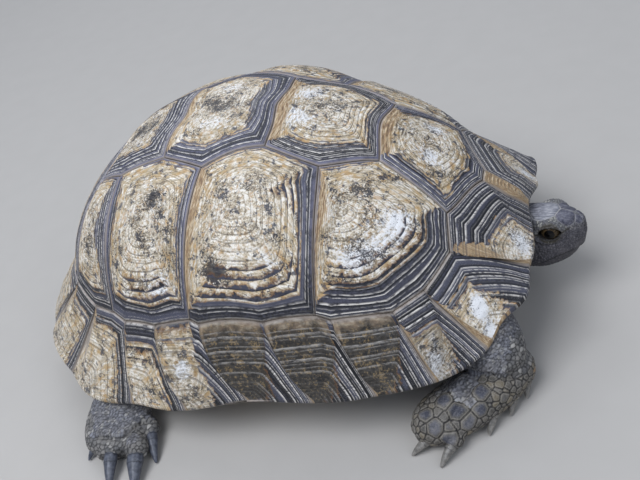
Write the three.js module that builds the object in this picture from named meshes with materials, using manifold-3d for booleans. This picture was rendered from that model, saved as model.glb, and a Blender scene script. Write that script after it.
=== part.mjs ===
// Spur-thighed tortoise, a life-size museum model of an adult at rest on its belly shield.
// Millimetres. +X points to the head, +Y to the animal's left, +Z up, and the floor is z = 0.
import * as THREE from 'three';
import { mergeVertices } from 'three/addons/utils/BufferGeometryUtils.js';
import Module from 'manifold-3d';

const wasm = await Module();
wasm.setup();

// ---------------------------------------------------------------- driving sizes
const GAP = 0.3;                 // clearance between pieces that touch
const FRAME_SHIFT = [1, 0, 0];   // brings the middle of the animal's box over the origin

// Upper shell. It is laid out on a disc (p forward, q to the left), whose edge is the rim.
const SHELL = {
  front: 95.9,      // centre to front, before the flare of the rim
  rear: 111.6,      // centre to rear, before the flare
  halfWidth: 79.4,  // centre to side, before the flare
  height: 114.8,    // top of the dome above the floor
  corner: 2.52,     // squareness of the plan
  crown: 1.87,      // fullness of the top of the dome
  flareStart: 0.7,  // disc radius where the rim begins to flare
  lip: 3,           // thickness of the rim
  ceiling: 46,      // underside of the shell over the body
};
// Values spread evenly from the front of the rim, past the side, to the rear.
const RIM_HEIGHT = [51, 40.6, 30.6, 28.6, 28.6, 25, 18.6, 26.4, 28.2];
const RIM_FLARE = [17.2, 16.7, 16.1, 10.3, 7.7, 13.6, 19, 21.6, 23.8];
const FLANK_POWER = [1.5, 1.67, 2.7, 2.64, 2.27];
// Corners and notches of the rim: degrees from the front, reach in degrees, distance outward.
const RIM_NOTCHES = [
  { at: 0, reach: 9, out: -4.4 },
  { at: 17.4, reach: 3, out: -1 },
  { at: 26, reach: 5, out: 2.6 },
  { at: 32.5, reach: 4, out: -2.2 },
  { at: 119, reach: 4, out: -0.8 },
  { at: 141.1, reach: 4, out: -1.4 },
  { at: 157.8, reach: 4, out: -1.2 },
];

// Horn plates: a groove along every seam, then steps up to the first year's plate.
const SEAM_STEP = 15;            // longest stretch of seam between two points
const GROOVE_DEPTH = 0.8;
const PLATE_STEPS = [
  { reach: 0.93, rise: 0.4 },
  { reach: 0.68, rise: 0.9 },
  { reach: 0.62, rise: 1.6 },
  { reach: 0.3, rise: 2 },
];
const AREOLA_RISE = 2.1;
const RIM_PLATE_STEPS = [{ reach: 0.92, rise: 0.3 }, { reach: 0.6, rise: 0.8 }];
const RIM_AREOLA_RISE = 1;

// Belly shield: it lies on the floor, and its bridges rise to the rim of the upper shell.
const BELLY = {
  thickness: 5,
  bridgeFoot: 50,
  bridgeSpan: 26,
  bridgeRise: 24.5,
  gularFoot: 48,
  gularRise: 12,
  analFoot: -64,
  analRise: 6,
  endSpan: 46,
};
// Cross seams from front to rear: place along the body and half width there.
const BELLY_SEAMS = [
  { x: 92, half: 15 },
  { x: 68, half: 36 },
  { x: 44, half: 46 },
  { x: 22, half: 76 },
  { x: -50, half: 76 },
  { x: -80, half: 42 },
  { x: -112, half: 16 },
];
const BELLY_STEPS = [{ reach: 0.93, rise: 0 }];

// Head, in its own axes: x forward from the middle of the skull, z up.
const HEAD = { at: [113, 0.3, 34.6], yaw: -4.5, pitch: -3, roll: -7 };
// Stations from the neck to the beak: x, middle height, half width, half height.
const SKULL = [
  [-21, -1.5, 9, 9],
  [-15, -1.9, 11.4, 11.3],
  [-7, -2.5, 12.4, 13.2],
  [0, -2.5, 11.8, 13.5],
  [6, -1.9, 10.4, 12.7],
  [10.6, -1.3, 8.7, 11.3],
  [13.8, -0.8, 7, 9.4],
  [16.2, 0, 5.2, 7.2],
  [17.8, 0.8, 3.6, 4.8],
  [18.6, 1.3, 1.8, 2.4],
];
const EYE = { x: 5, y: 7.2, z: 4.6, radius: 4.2 };
const LID = { long: 6, out: 4.8, high: 5 };
const EYE_SLIT = { long: 4.5, high: 2.9 };
// Line of the mouth, from its corner to the tip of the beak: x, z.
const MOUTH = [[-4.5, -11.4], [1, -9.6], [6, -7.8], [11, -6.6], [15.5, -6.4], [21, -7.8]];
const MOUTH_WIDTH = 0.6;
const MOUTH_DEPTH = 1.1;
const NOSTRIL = { x: 17.6, y: 1.7, z: 2.6, radius: 0.6, depth: 1.4 };

const LEFT_DRAWN_IN = 7;         // how much further back the left foreleg rests
// Limbs of the right side, as stations x, y, z, half width, half height.
// The left ones mirror them. Feet reach a little below the floor and are pressed flat on it.
const NECK = [[74, 0, 27, 14, 13], [86, 0, 28.5, 13, 12.5], [96, 0.2, 31, 11.5, 10.8], [104, 0.3, 33, 9, 8.6]];
const UPPER_ARM = [
  [64, -26, 29, 12, 11],
  [78, -39, 27, 15, 13],
  [90, -50, 23, 15, 13],
  [97, -58, 19, 12, 10],
  [101, -63, 16, 7, 6],
];
const FOREARM = [
  [103, -48, 11, 4.4, 4.4],
  [101, -54, 10.4, 9.6, 9.6],
  [91.5, -64.5, 9.6, 12, 9.8],
  [81, -74, 8.6, 12.4, 9.2],
  [72, -80.8, 7.6, 11.2, 8.2],
  [66.5, -84.8, 6.6, 8.2, 6.8],
  [63, -87, 5.8, 3.4, 3.4],
];
const THIGH = [[-48, -36, 27, 13, 13], [-58, -48, 25, 15, 13], [-66, -58, 21, 14, 11], [-71, -65, 16, 11, 8]];
const HIND_FOOT = [
  [-71.5, -60, 17, 9, 8],
  [-75.5, -68, 12.5, 13.5, 8.5],
  [-77, -77, 9.4, 15.4, 8],
  [-76, -86, 7.4, 16, 7.4],
  [-72.5, -94, 5.8, 15, 6.6],
  [-70.5, -100.5, 5, 9.6, 4.6],
];
// Horny spur on the back of each thigh: root, tip and half thickness.
const SPUR = { root: [-72, -57, 18], tip: [-83.5, -54.5, 15], thick: 3.2 };
const TAIL = [
  [-84, 0, 23, 12, 10],
  [-100, 1, 21, 10, 8.6],
  [-111, 4, 16, 7.4, 6.6],
  [-120, 8, 10.5, 4.8, 4.6],
  [-126, 12, 6.6, 2.6, 2.6],
  [-128.5, 13.6, 5.4, 1.2, 1.2],
];
const TORSO = [
  [-104, 0, 25, 14, 6],
  [-94, 0, 26, 40, 12],
  [-62, 0, 27, 60, 19],
  [0, 0, 27, 66, 22],
  [44, 0, 27, 60, 20],
  [70, 0, 28, 44, 15],
  [86, 0, 30, 20, 9],
];

// Claws of a right foot: root, tip and thickness. The root is sunk in the toe.
const FORE_CLAWS = [
  { root: [71, -87, 5.6], tip: [61.7, -93.4, 0.8], thick: 2.5 },
  { root: [80, -88, 5.4], tip: [74, -98.4, 0.8], thick: 2.5 },
  { root: [94, -73, 6.2], tip: [91.6, -83, 0.8], thick: 2.6 },
  { root: [101.5, -64, 6.6], tip: [99.4, -73.4, 1], thick: 2.6 },
  { root: [106, -56, 7], tip: [105.4, -65, 1.6], thick: 2.2 },
];
const HIND_CLAWS = [
  { root: [-84, -90.5, 5], tip: [-88, -101.5, 0.9], thick: 2.4 },
  { root: [-74.5, -96.5, 7.2], tip: [-69.8, -116.5, 1], thick: 3.5 },
  { root: [-61.8, -96.5, 7.2], tip: [-57, -116.5, 1], thick: 4.2 },
  { root: [-59.5, -86, 6.4], tip: [-52.6, -101.5, 1], thick: 3.1 },
];

// Large scales of the forearm: place along it (0 to 1), turn round it in degrees and radius.
const FOREARM_SCALES = [
  { along: 0.415, turn: 59, radius: 4.4 },
  { along: 0.458, turn: 31, radius: 3.6 },
  { along: 0.585, turn: 89, radius: 4.5 },
  { along: 0.559, turn: 55, radius: 4.7 },
  { along: 0.542, turn: 23, radius: 4.2 },
  { along: 0.739, turn: 49, radius: 4.5 },
  { along: 0.739, turn: 87, radius: 4 },
  { along: 0.682, turn: 6, radius: 4.6 },
  { along: 0.649, turn: 32, radius: 3 },
  { along: 0.344, turn: 18, radius: 2.7 },
];
const SCALE_RISE = 0.9;

// ---------------------------------------------------------------- small helpers
const vec = (x, y, z) => new THREE.Vector3(x, y, z);
const clamp01 = (t) => Math.min(1, Math.max(0, t));
const smooth = (t) => clamp01(t) ** 2 * (3 - 2 * clamp01(t));
const radians = (degrees) => degrees * Math.PI / 180;

// A closed geometry from a list of points and a list of triangles.
function closedGeometry(points, triangles) {
  const geometry = new THREE.BufferGeometry();
  geometry.setAttribute('position', new THREE.Float32BufferAttribute(points.flatMap((p) => [p.x, p.y, p.z]), 3));
  geometry.setIndex(triangles.flat());
  return geometry;
}

function solidOf(geometry) {
  const bare = geometry.clone();
  bare.deleteAttribute('normal');
  bare.deleteAttribute('uv');
  const merged = mergeVertices(bare, 1e-4);
  const vertProperties = Float32Array.from(merged.attributes.position.array);
  const triVerts = Uint32Array.from(merged.index.array);
  return new wasm.Manifold(new wasm.Mesh({ numProp: 3, vertProperties, triVerts }));
}

// The largest closed surface of a solid, as a geometry.
function geometryOf(solid) {
  const pieces = solid.decompose();
  const largest = pieces.reduce((best, piece) => (piece.volume() > best.volume() ? piece : best));
  const mesh = largest.getMesh();
  const geometry = new THREE.BufferGeometry();
  geometry.setAttribute('position', new THREE.Float32BufferAttribute(mesh.vertProperties, 3));
  geometry.setIndex(Array.from(mesh.triVerts));
  return geometry;
}

// The same solid, swollen by a distance along its corner normals.
function swollen(solid, distance) {
  const geometry = geometryOf(solid);
  geometry.computeVertexNormals();
  const position = geometry.attributes.position;
  const normal = geometry.attributes.normal;
  for (let i = 0; i < position.count; i += 1) {
    position.setXYZ(
      i,
      position.getX(i) + distance * normal.getX(i),
      position.getY(i) + distance * normal.getY(i),
      position.getZ(i) + distance * normal.getZ(i),
    );
  }
  return solidOf(geometry);
}

function boxSolid(min, max) {
  const geometry = new THREE.BoxGeometry(max[0] - min[0], max[1] - min[1], max[2] - min[2]);
  geometry.translate((min[0] + max[0]) / 2, (min[1] + max[1]) / 2, (min[2] + max[2]) / 2);
  return solidOf(geometry);
}

// Everything stands on the floor, so flesh that would sink into it is pressed flat there.
const aboveFloor = boxSolid([-300, -300, 0], [300, 300, 300]);

// A closed body along a path of stations [x, y, z, half width, half height].
// Sections stand square to the path, and `aside` sets which way the width lies.
function limbGeometry(stations, { steps = 10, sides = 14, aside = vec(0, 0, 1), square = 2.2 } = {}) {
  const path = new THREE.CatmullRomCurve3(stations.map((s) => vec(s[0], s[1], s[2])));
  const size = new THREE.CatmullRomCurve3(stations.map((s) => vec(s[3], s[4], 0)));
  const points = [];
  const triangles = [];
  for (let i = 0; i <= steps; i += 1) {
    const t = i / steps;
    const centre = path.getPoint(t);
    const along = path.getTangent(t);
    const wide = vec().crossVectors(aside, along).normalize();
    const high = vec().crossVectors(along, wide).normalize();
    const half = size.getPoint(t);
    for (let j = 0; j < sides; j += 1) {
      const turn = 2 * Math.PI * j / sides;
      const c = Math.cos(turn);
      const s = Math.sin(turn);
      const round = (Math.abs(c) ** square + Math.abs(s) ** square) ** (-1 / square);
      points.push(centre.clone().addScaledVector(wide, half.x * c * round).addScaledVector(high, half.y * s * round));
    }
  }
  stitchRings(triangles, steps + 1, sides);
  closeEnds(points, triangles, steps + 1, sides);
  return closedGeometry(points, triangles);
}

function stitchRings(triangles, rings, sides) {
  for (let i = 0; i + 1 < rings; i += 1) {
    for (let j = 0; j < sides; j += 1) {
      const a = i * sides + j;
      const b = i * sides + (j + 1) % sides;
      triangles.push([a, b, b + sides], [a, b + sides, a + sides]);
    }
  }
}

// Both end rings close on a point at their middle.
function closeEnds(points, triangles, rings, sides) {
  const last = (rings - 1) * sides;
  [0, last].forEach((start) => {
    const middle = vec(0, 0, 0);
    for (let j = 0; j < sides; j += 1) middle.addScaledVector(points[start + j], 1 / sides);
    const centre = points.push(middle) - 1;
    for (let j = 0; j < sides; j += 1) {
      const a = start + j;
      const b = start + (j + 1) % sides;
      triangles.push(start === 0 ? [centre, b, a] : [centre, a, b]);
    }
  });
}

const limbSolid = (stations, options) => solidOf(limbGeometry(stations, options));

// ---------------------------------------------------------------- dome of the upper shell
// Blend of values spread evenly from the front (cosine 1) to the rear (cosine -1).
function roundTheRim(values, cosine) {
  const place = Math.acos(Math.min(1, Math.max(-1, cosine))) / Math.PI * (values.length - 1);
  const first = Math.min(values.length - 2, Math.floor(place));
  const blend = (1 - Math.cos(Math.PI * (place - first))) / 2;
  return values[first] * (1 - blend) + values[first + 1] * blend;
}

function rimNotch(cosine) {
  const degrees = Math.acos(Math.min(1, Math.max(-1, cosine))) * 180 / Math.PI;
  const bumps = RIM_NOTCHES.map(({ at, reach, out }) => out * Math.exp(-(((degrees - at) / reach) ** 2)));
  return bumps.reduce((sum, bump) => sum + bump, 0);
}

function domePoint(p, q) {
  const r = Math.hypot(p, q) + 1e-9;
  const c = p / r;
  const s = q / r;
  const plan = (Math.abs(c) ** SHELL.corner + Math.abs(s) ** SHELL.corner) ** (-1 / SHELL.corner);
  const rim = roundTheRim(RIM_HEIGHT, c);
  const outward = clamp01((r - SHELL.flareStart) / (1 - SHELL.flareStart)) ** 2;
  const flare = roundTheRim(RIM_FLARE, c) * outward + rimNotch(c) * outward ** 2;
  const reach = Math.sin(Math.min(r, 1) * Math.PI / 2);
  const fall = Math.max(0, 1 - reach ** roundTheRim(FLANK_POWER, c)) ** (1 / SHELL.crown);
  const length = (SHELL.front + SHELL.rear) / 2 + (SHELL.front - SHELL.rear) / 2 * c;
  return vec(
    length * c * reach * plan + flare * c,
    SHELL.halfWidth * s * reach * plan + flare * s,
    rim + (SHELL.height - rim) * fall,
  );
}

function domeNormal(p, q) {
  const step = 0.01;
  const r = Math.hypot(p, q);
  const pull = Math.min(1, (1 - 1.5 * step) / (r + 1e-9));
  const a = p * pull;
  const b = q * pull;
  const forward = domePoint(a + step, b).sub(domePoint(a - step, b));
  const left = domePoint(a, b + step).sub(domePoint(a, b - step));
  return forward.cross(left).normalize();
}

// ---------------------------------------------------------------- seams between the plates
const polar = (degrees, radius) => [radius * Math.cos(radians(degrees)), radius * Math.sin(radians(degrees))];

// Corners of the seams of the left half, on the disc. The right half mirrors them.
const SEAMS = {
  nuchalTop: [0.793, 0.036],
  nuchalSide: [0.885, 0.042],
  firstCorner: [0.627, 0.264],
  v12: [0.391, 0.167],
  v23: [0.092, 0.201],
  v34: [-0.171, 0.203],
  v45: [-0.442, 0.149],
  apex2: [0.225, 0.229],
  apex3: [-0.064, 0.287],
  apex4: [-0.318, 0.211],
  c12: polar(70.2, 0.758),
  c23: polar(102.1, 0.758),
  c34: polar(125.9, 0.758),
  top1: polar(31.3, 0.758),
  top2: polar(43.3, 0.773),
  top3: polar(52.9, 0.789),
  top4: polar(67.2, 0.774),
  top5: polar(83.3, 0.775),
  top6: polar(100.1, 0.772),
  top7: polar(112.3, 0.777),
  top8: polar(121.5, 0.776),
  top9: polar(134.1, 0.764),
  top10: polar(147, 0.766),
  top11: polar(166, 0.775),
  rim0: polar(1.3, 1),
  rim1: polar(17.4, 1),
  rim2: polar(39.3, 1),
  rim3: polar(51.9, 1),
  rim4: polar(63.8, 1),
  rim5: polar(77.1, 1),
  rim6: polar(91.8, 1),
  rim7: polar(105.6, 1),
  rim8: polar(119, 1),
  rim9: polar(141.1, 1),
  rim10: polar(157.8, 1),
  rim11: polar(169.5, 1),
};

const marginal = (n, tops) => ({ name: `marginal${n}`, corners: [`rim${n - 1}`, `rim${n}`, ...tops] });

// Plates of the left half, each as the corners round it, anticlockwise from above.
const SIDE_PLATES = [
  { name: 'costal1', corners: ['v12', 'firstCorner', 'top1', 'top2', 'top3', 'top4', 'c12', 'apex2'] },
  { name: 'costal2', corners: ['apex2', 'c12', 'top5', 'top6', 'c23', 'apex3', 'v23'] },
  { name: 'costal3', corners: ['apex3', 'c23', 'top7', 'top8', 'c34', 'apex4', 'v34'] },
  { name: 'costal4', corners: ['apex4', 'c34', 'top9', 'top10', 'v45'] },
  marginal(1, ['top1', 'firstCorner', 'nuchalTop', 'nuchalSide']),
  marginal(2, ['top2', 'top1']),
  marginal(3, ['top3', 'top2']),
  marginal(4, ['top4', 'top3']),
  marginal(5, ['top5', 'c12', 'top4']),
  marginal(6, ['top6', 'top5']),
  marginal(7, ['top7', 'c23', 'top6']),
  marginal(8, ['top8', 'top7']),
  marginal(9, ['top9', 'c34', 'top8']),
  marginal(10, ['top10', 'top9']),
  marginal(11, ['top11', 'top10']),
];

// Plates on the midline: the corners of their left side from front to rear.
const MIDDLE_PLATES = [
  { name: 'nuchal', left: ['rim0', 'nuchalSide', 'nuchalTop'] },
  { name: 'vertebral1', left: ['nuchalTop', 'firstCorner', 'v12'] },
  { name: 'vertebral2', left: ['v12', 'apex2', 'v23'] },
  { name: 'vertebral3', left: ['v23', 'apex3', 'v34'] },
  { name: 'vertebral4', left: ['v34', 'apex4', 'v45'] },
  { name: 'vertebral5', left: ['v45', 'top10', 'top11'] },
  { name: 'supracaudal', left: ['top11', 'rim11'] },
];

function seamCorner(name) {
  const mirrored = name.startsWith('-');
  const [p, q] = SEAMS[mirrored ? name.slice(1) : name];
  return [p, mirrored ? -q : q];
}

// Points of one stretch of seam, the first corner included and the last left out.
// Both plates beside it get the same points. Along the rim it follows the disc's edge.
function seamPoints(from, to) {
  const flip = from > to;
  const [a, b] = (flip ? [to, from] : [from, to]).map(seamCorner);
  const count = Math.max(1, Math.ceil(domePoint(...a).distanceTo(domePoint(...b)) / SEAM_STEP));
  const points = [];
  for (let i = 0; i <= count; i += 1) {
    const p = a[0] + (b[0] - a[0]) * i / count;
    const q = a[1] + (b[1] - a[1]) * i / count;
    const onRim = Math.hypot(...a) > 0.999 && Math.hypot(...b) > 0.999;
    const stretch = onRim ? 1 / Math.hypot(p, q) : 1;
    points.push([p * stretch, q * stretch]);
  }
  return (flip ? points.reverse() : points).slice(0, count);
}

const outline = (corners) => corners.flatMap((name, i) => seamPoints(name, corners[(i + 1) % corners.length]));

function average(points) {
  return [0, 1].map((k) => points.reduce((sum, point) => sum + point[k], 0) / points.length);
}

// Every plate with its outline and the middle of its first year's plate.
function carapacePlates() {
  const plates = [];
  MIDDLE_PLATES.forEach(({ name, left }) => {
    const corners = [...left, ...left.map((corner) => `-${corner}`).reverse()];
    plates.push({ name, edge: outline(corners) });
  });
  SIDE_PLATES.forEach(({ name, corners }) => {
    plates.push({ name, edge: outline(corners) });
    plates.push({ name, edge: outline(corners.map((corner) => `-${corner}`).reverse()) });
  });
  return plates.map((plate) => ({ ...plate, middle: average(plate.edge) }));
}

// ---------------------------------------------------------------- raised plates as a mesh
// A mesh under construction. Points on a seam are shared by all the plates that touch it.
function newMesh() {
  const points = [];
  const triangles = [];
  const known = new Map();
  const add = (point) => points.push(point) - 1;
  const seam = (side, a, b, surface) => {
    const key = `${side}${a.toFixed(4)},${b.toFixed(4)}`;
    if (!known.has(key)) known.set(key, add(surface(a, b)));
    return known.get(key);
  };
  const ring = (outer, inner) => outer.forEach((point, j) => {
    const next = (j + 1) % outer.length;
    triangles.push([point, outer[next], inner[next]], [point, inner[next], inner[j]]);
  });
  const fan = (edge, centre) => edge.forEach((point, j) => {
    triangles.push([point, edge[(j + 1) % edge.length], centre]);
  });
  const geometry = () => closedGeometry(points, triangles);
  return { add, seam, ring, fan, geometry };
}

// Rings of points from the seam inward, each raised along the surface normal.
function addPlate(mesh, { edge, outer, steps, surface, centreRise }) {
  const [a, b] = average(edge);
  let previous = outer;
  steps.forEach(({ reach, rise }) => {
    const inner = edge.map(([p, q]) => mesh.add(surface(a + (p - a) * reach, b + (q - b) * reach, rise)));
    mesh.ring(previous, inner);
    previous = inner;
  });
  mesh.fan(previous, mesh.add(surface(a, b, centreRise)));
}

// ---------------------------------------------------------------- upper shell
function raisedDome(p, q, rise) {
  return domePoint(p, q).addScaledVector(domeNormal(p, q), rise);
}

// Seams lie in grooves, which run out at the rim.
function domeSeam(p, q) {
  return raisedDome(p, q, Math.hypot(p, q) > 0.999 ? 0 : -GROOVE_DEPTH);
}

// The rim all the way round, clockwise from above, so that the underside faces down.
function rimLoop() {
  const left = Array.from({ length: 12 }, (_, n) => `rim${n}`);
  const right = left.map((name) => `-${name}`).reverse();
  return outline([...left, ...right]).reverse();
}

// Underside: a thin lip, a shallow gutter inside it, and the ceiling over the body.
function addUnderside(mesh) {
  const loop = rimLoop();
  const middle = (SHELL.front - SHELL.rear) / 2;
  const levels = [
    { reach: 0.975, z: (rim) => rim - SHELL.lip },
    { reach: 0.88, z: (rim) => rim - SHELL.lip / 2 },
    { reach: 0.76, z: (rim) => (rim + SHELL.ceiling) / 2 },
    { reach: 0.55, z: () => SHELL.ceiling },
  ];
  let outer = loop.map(([p, q]) => mesh.seam('top', p, q, domeSeam));
  levels.forEach(({ reach, z }) => {
    const inner = loop.map(([p, q]) => {
      const rim = domePoint(p, q);
      return mesh.add(vec(middle + (rim.x - middle) * reach, rim.y * reach, z(rim.z)));
    });
    mesh.ring(outer, inner);
    outer = inner;
  });
  mesh.fan(outer, mesh.add(vec(middle, 0, SHELL.ceiling)));
}

function carapaceSolid() {
  const mesh = newMesh();
  carapacePlates().forEach(({ name, edge }) => {
    const low = name.startsWith('marginal') || name === 'nuchal' || name === 'supracaudal';
    const steps = low ? RIM_PLATE_STEPS : PLATE_STEPS;
    const centreRise = low ? RIM_AREOLA_RISE : AREOLA_RISE;
    const outer = edge.map(([p, q]) => mesh.seam('top', p, q, domeSeam));
    addPlate(mesh, { edge, outer, steps, surface: raisedDome, centreRise });
  });
  addUnderside(mesh);
  return solidOf(mesh.geometry());
}

// ---------------------------------------------------------------- belly shield
// Underside of the belly shield: flat on the floor, turned up at both ends and at the bridges.
function bellyHeight(x, y) {
  const bridge = BELLY.bridgeRise * smooth((Math.abs(y) - BELLY.bridgeFoot) / BELLY.bridgeSpan);
  const front = BELLY.gularRise * clamp01((x - BELLY.gularFoot) / BELLY.endSpan) ** 1.7;
  const rear = BELLY.analRise * clamp01((BELLY.analFoot - x) / BELLY.endSpan) ** 1.7;
  return Math.max(bridge, front, rear);
}

const bellyUnder = (x, y, rise = -GROOVE_DEPTH) => vec(x, y, bellyHeight(x, y) - rise);
const bellyOver = (x, y) => vec(x, y, bellyHeight(x, y) + BELLY.thickness);

// One straight stretch of seam on the belly, its first point included and its last left out.
function bellyStretch(a, b) {
  const count = Math.max(1, Math.ceil(Math.hypot(b[0] - a[0], b[1] - a[1]) / SEAM_STEP / 1.2));
  return Array.from({ length: count }, (_, i) => [
    a[0] + (b[0] - a[0]) * i / count,
    a[1] + (b[1] - a[1]) * i / count,
  ]);
}

// Outline of the belly plate between two cross seams, on the left (side 1) or right (side -1).
// It runs clockwise from above, so that the plate faces down.
function bellyEdge(front, rear, side) {
  const corners = [[front.x, 0], [front.x, side * front.half], [rear.x, side * rear.half], [rear.x, 0]];
  const order = side > 0 ? [...corners].reverse() : corners;
  return order.flatMap((corner, i) => bellyStretch(corner, order[(i + 1) % order.length]));
}

function bellyPlates() {
  const pairs = BELLY_SEAMS.slice(1).map((rear, i) => [BELLY_SEAMS[i], rear]);
  return pairs.flatMap(([front, rear]) => [bellyEdge(front, rear, 1), bellyEdge(front, rear, -1)]);
}

// Outer edge of the whole shield, clockwise from above.
function bellyOutline() {
  const right = BELLY_SEAMS.map(({ x, half }) => [x, -half]);
  const left = BELLY_SEAMS.map(({ x, half }) => [x, half]).reverse();
  const corners = [[BELLY_SEAMS[0].x, 0], ...right, [BELLY_SEAMS[BELLY_SEAMS.length - 1].x, 0], ...left];
  return corners.flatMap((corner, i) => bellyStretch(corner, corners[(i + 1) % corners.length]));
}

function plastronSolid() {
  const mesh = newMesh();
  const under = (x, y) => mesh.seam('under', x, y, bellyUnder);
  const over = (x, y) => mesh.seam('over', x, y, bellyOver);
  bellyPlates().forEach((edge) => {
    const outer = edge.map(([x, y]) => under(x, y));
    addPlate(mesh, { edge, outer, steps: BELLY_STEPS, surface: bellyUnder, centreRise: 0 });
    const upper = [...edge].reverse();
    const inside = upper.map(([x, y]) => over(x, y));
    addPlate(mesh, { edge: upper, outer: inside, steps: [], surface: bellyOver, centreRise: 0 });
  });
  const rim = bellyOutline().reverse();
  mesh.ring(rim.map(([x, y]) => under(x, y)), rim.map(([x, y]) => over(x, y)));
  return solidOf(mesh.geometry());
}

// ---------------------------------------------------------------- head
function headPlace() {
  const turn = new THREE.Euler(radians(HEAD.roll), radians(HEAD.pitch), radians(HEAD.yaw), 'ZYX');
  const place = new THREE.Matrix4().makeRotationFromEuler(turn);
  return place.setPosition(...HEAD.at);
}

function ball(centre, radii, detail = 12) {
  const geometry = new THREE.SphereGeometry(1, detail, detail / 2 + 1);
  geometry.rotateX(Math.PI / 2);
  geometry.scale(...radii);
  geometry.translate(...centre);
  return geometry;
}

function skullGeometry(inset = 0) {
  const stations = SKULL.map(([x, z, wide, high]) => [
    x, 0, z, Math.max(0.4, wide - inset), Math.max(0.4, high - inset),
  ]);
  return limbGeometry(stations, { steps: 13, sides: 16, square: 2.5 });
}

// A thin blade that follows the line of the mouth, less the part deep inside the skull.
function mouthCut() {
  const shape = new THREE.Shape();
  const half = MOUTH_WIDTH / 2;
  MOUTH.forEach(([x, z], i) => (i === 0 ? shape.moveTo(x, z + half) : shape.lineTo(x, z + half)));
  [...MOUTH].reverse().forEach(([x, z]) => shape.lineTo(x, z - half));
  shape.closePath();
  const blade = new THREE.ExtrudeGeometry(shape, { depth: 40, bevelEnabled: false });
  blade.rotateX(Math.PI / 2);
  blade.translate(0, 20, 0);
  return solidOf(blade).subtract(solidOf(skullGeometry(MOUTH_DEPTH)));
}

function nostrilCut(side) {
  const bore = new THREE.CylinderGeometry(NOSTRIL.radius, NOSTRIL.radius, 2 * NOSTRIL.depth, 6);
  bore.rotateZ(Math.PI / 2);
  bore.translate(NOSTRIL.x, side * NOSTRIL.y, NOSTRIL.z);
  return solidOf(bore);
}

const eyeCentre = (side) => [EYE.x, side * EYE.y, EYE.z];

function eyeBall(side, extra = 0) {
  const radius = EYE.radius + extra;
  return ball(eyeCentre(side), [radius, radius, radius]);
}

function headSolid() {
  let head = solidOf(skullGeometry());
  [1, -1].forEach((side) => {
    const slitAt = [EYE.x, side * (EYE.y + EYE.radius), EYE.z];
    head = head.add(solidOf(ball(eyeCentre(side), [LID.long, LID.out, LID.high])));
    head = head.subtract(solidOf(ball(slitAt, [EYE_SLIT.long, EYE.radius, EYE_SLIT.high], 12)));
    head = head.subtract(solidOf(eyeBall(side, GAP * 1.2)));
    head = head.subtract(nostrilCut(side));
  });
  return head.subtract(mouthCut());
}

// ---------------------------------------------------------------- limbs
// A place on a right limb, or its mirror image on the left. The left foreleg is drawn in a little.
const placeOnSide = ([x, y, z], side) => (side < 0 ? [x, y, z] : [x - (x > 0 ? LEFT_DRAWN_IN : 0), -y, z]);
const onSide = (stations, side) => stations.map(([x, y, z, ...size]) => [...placeOnSide([x, y, z], side), ...size]);

// A low six-sided scale on a limb, its root sunk in the skin.
function limbScale(stations, { along, turn, radius }, side) {
  const path = new THREE.CatmullRomCurve3(stations.map((s) => vec(s[0], s[1], s[2])));
  const size = new THREE.CatmullRomCurve3(stations.map((s) => vec(s[3], s[4], 0))).getPoint(along);
  const forward = path.getTangent(along);
  const wide = vec().crossVectors(vec(0, 0, 1), forward).normalize();
  const high = vec().crossVectors(forward, wide).normalize();
  const angle = radians(side < 0 ? turn : 180 - turn);
  const c = Math.cos(angle);
  const s = Math.sin(angle);
  const out = vec().addScaledVector(wide, c / size.x).addScaledVector(high, s / size.y).normalize();
  const foot = path.getPoint(along).addScaledVector(wide, size.x * c).addScaledVector(high, size.y * s);
  const dome = new THREE.CylinderGeometry(radius * 0.72, radius, 3 + SCALE_RISE, 6);
  dome.translate(0, (SCALE_RISE - 3) / 2, 0);
  const basis = new THREE.Matrix4().makeBasis(forward, out, vec().crossVectors(forward, out).normalize());
  dome.applyMatrix4(basis.setPosition(foot));
  return solidOf(dome);
}

function clawSolid({ root, tip, thick }, side) {
  const from = vec(...placeOnSide(root, side));
  const to = vec(...placeOnSide(tip, side));
  const at = (t, lift, size) => {
    const p = from.clone().lerp(to, t);
    return [p.x, p.y, p.z + lift, thick * size, thick * size * 0.85];
  };
  const stations = [at(0, 0, 1), at(0.35, 0.9, 0.96), at(0.7, 0.8, 0.7), at(1, 0, 0.26)];
  return limbSolid(stations, { steps: 4, sides: 6 });
}

// ---------------------------------------------------------------- pieces, each clear of what it meets
const pieces = new Map();
const keep = (name, solid, finish) => {
  pieces.set(name, { solid, finish });
  return solid;
};
const clearance = new Map();
function room(solid) {
  if (!clearance.has(solid)) clearance.set(solid, swollen(solid, GAP * 1.4));
  return clearance.get(solid);
}
const clearOf = (solid, ...neighbours) => neighbours.reduce((rest, near) => rest.subtract(room(near)), solid);

const carapace = keep('carapace', carapaceSolid(), 'horn');
const plastron = keep('plastron', clearOf(plastronSolid(), carapace), 'belly');
const torsoWhole = limbSolid(TORSO, { steps: 10, sides: 14, square: 3 });
const torso = keep('torso', clearOf(torsoWhole, carapace, plastron), 'skin');
const body = [carapace, plastron, torso];

const placedHead = headSolid().transform(headPlace().toArray());
const head = keep('head', clearOf(placedHead, carapace), 'headSkin');
[1, -1].forEach((side) => {
  const eye = eyeBall(side).applyMatrix4(headPlace());
  keep(side > 0 ? 'eye_left' : 'eye_right', solidOf(eye), 'eye');
});
keep('neck', clearOf(limbSolid(NECK, { steps: 5, sides: 14 }), head, ...body), 'skin');
keep('tail', clearOf(limbSolid(TAIL, { steps: 8, sides: 10 }), ...body), 'skin');

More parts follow.
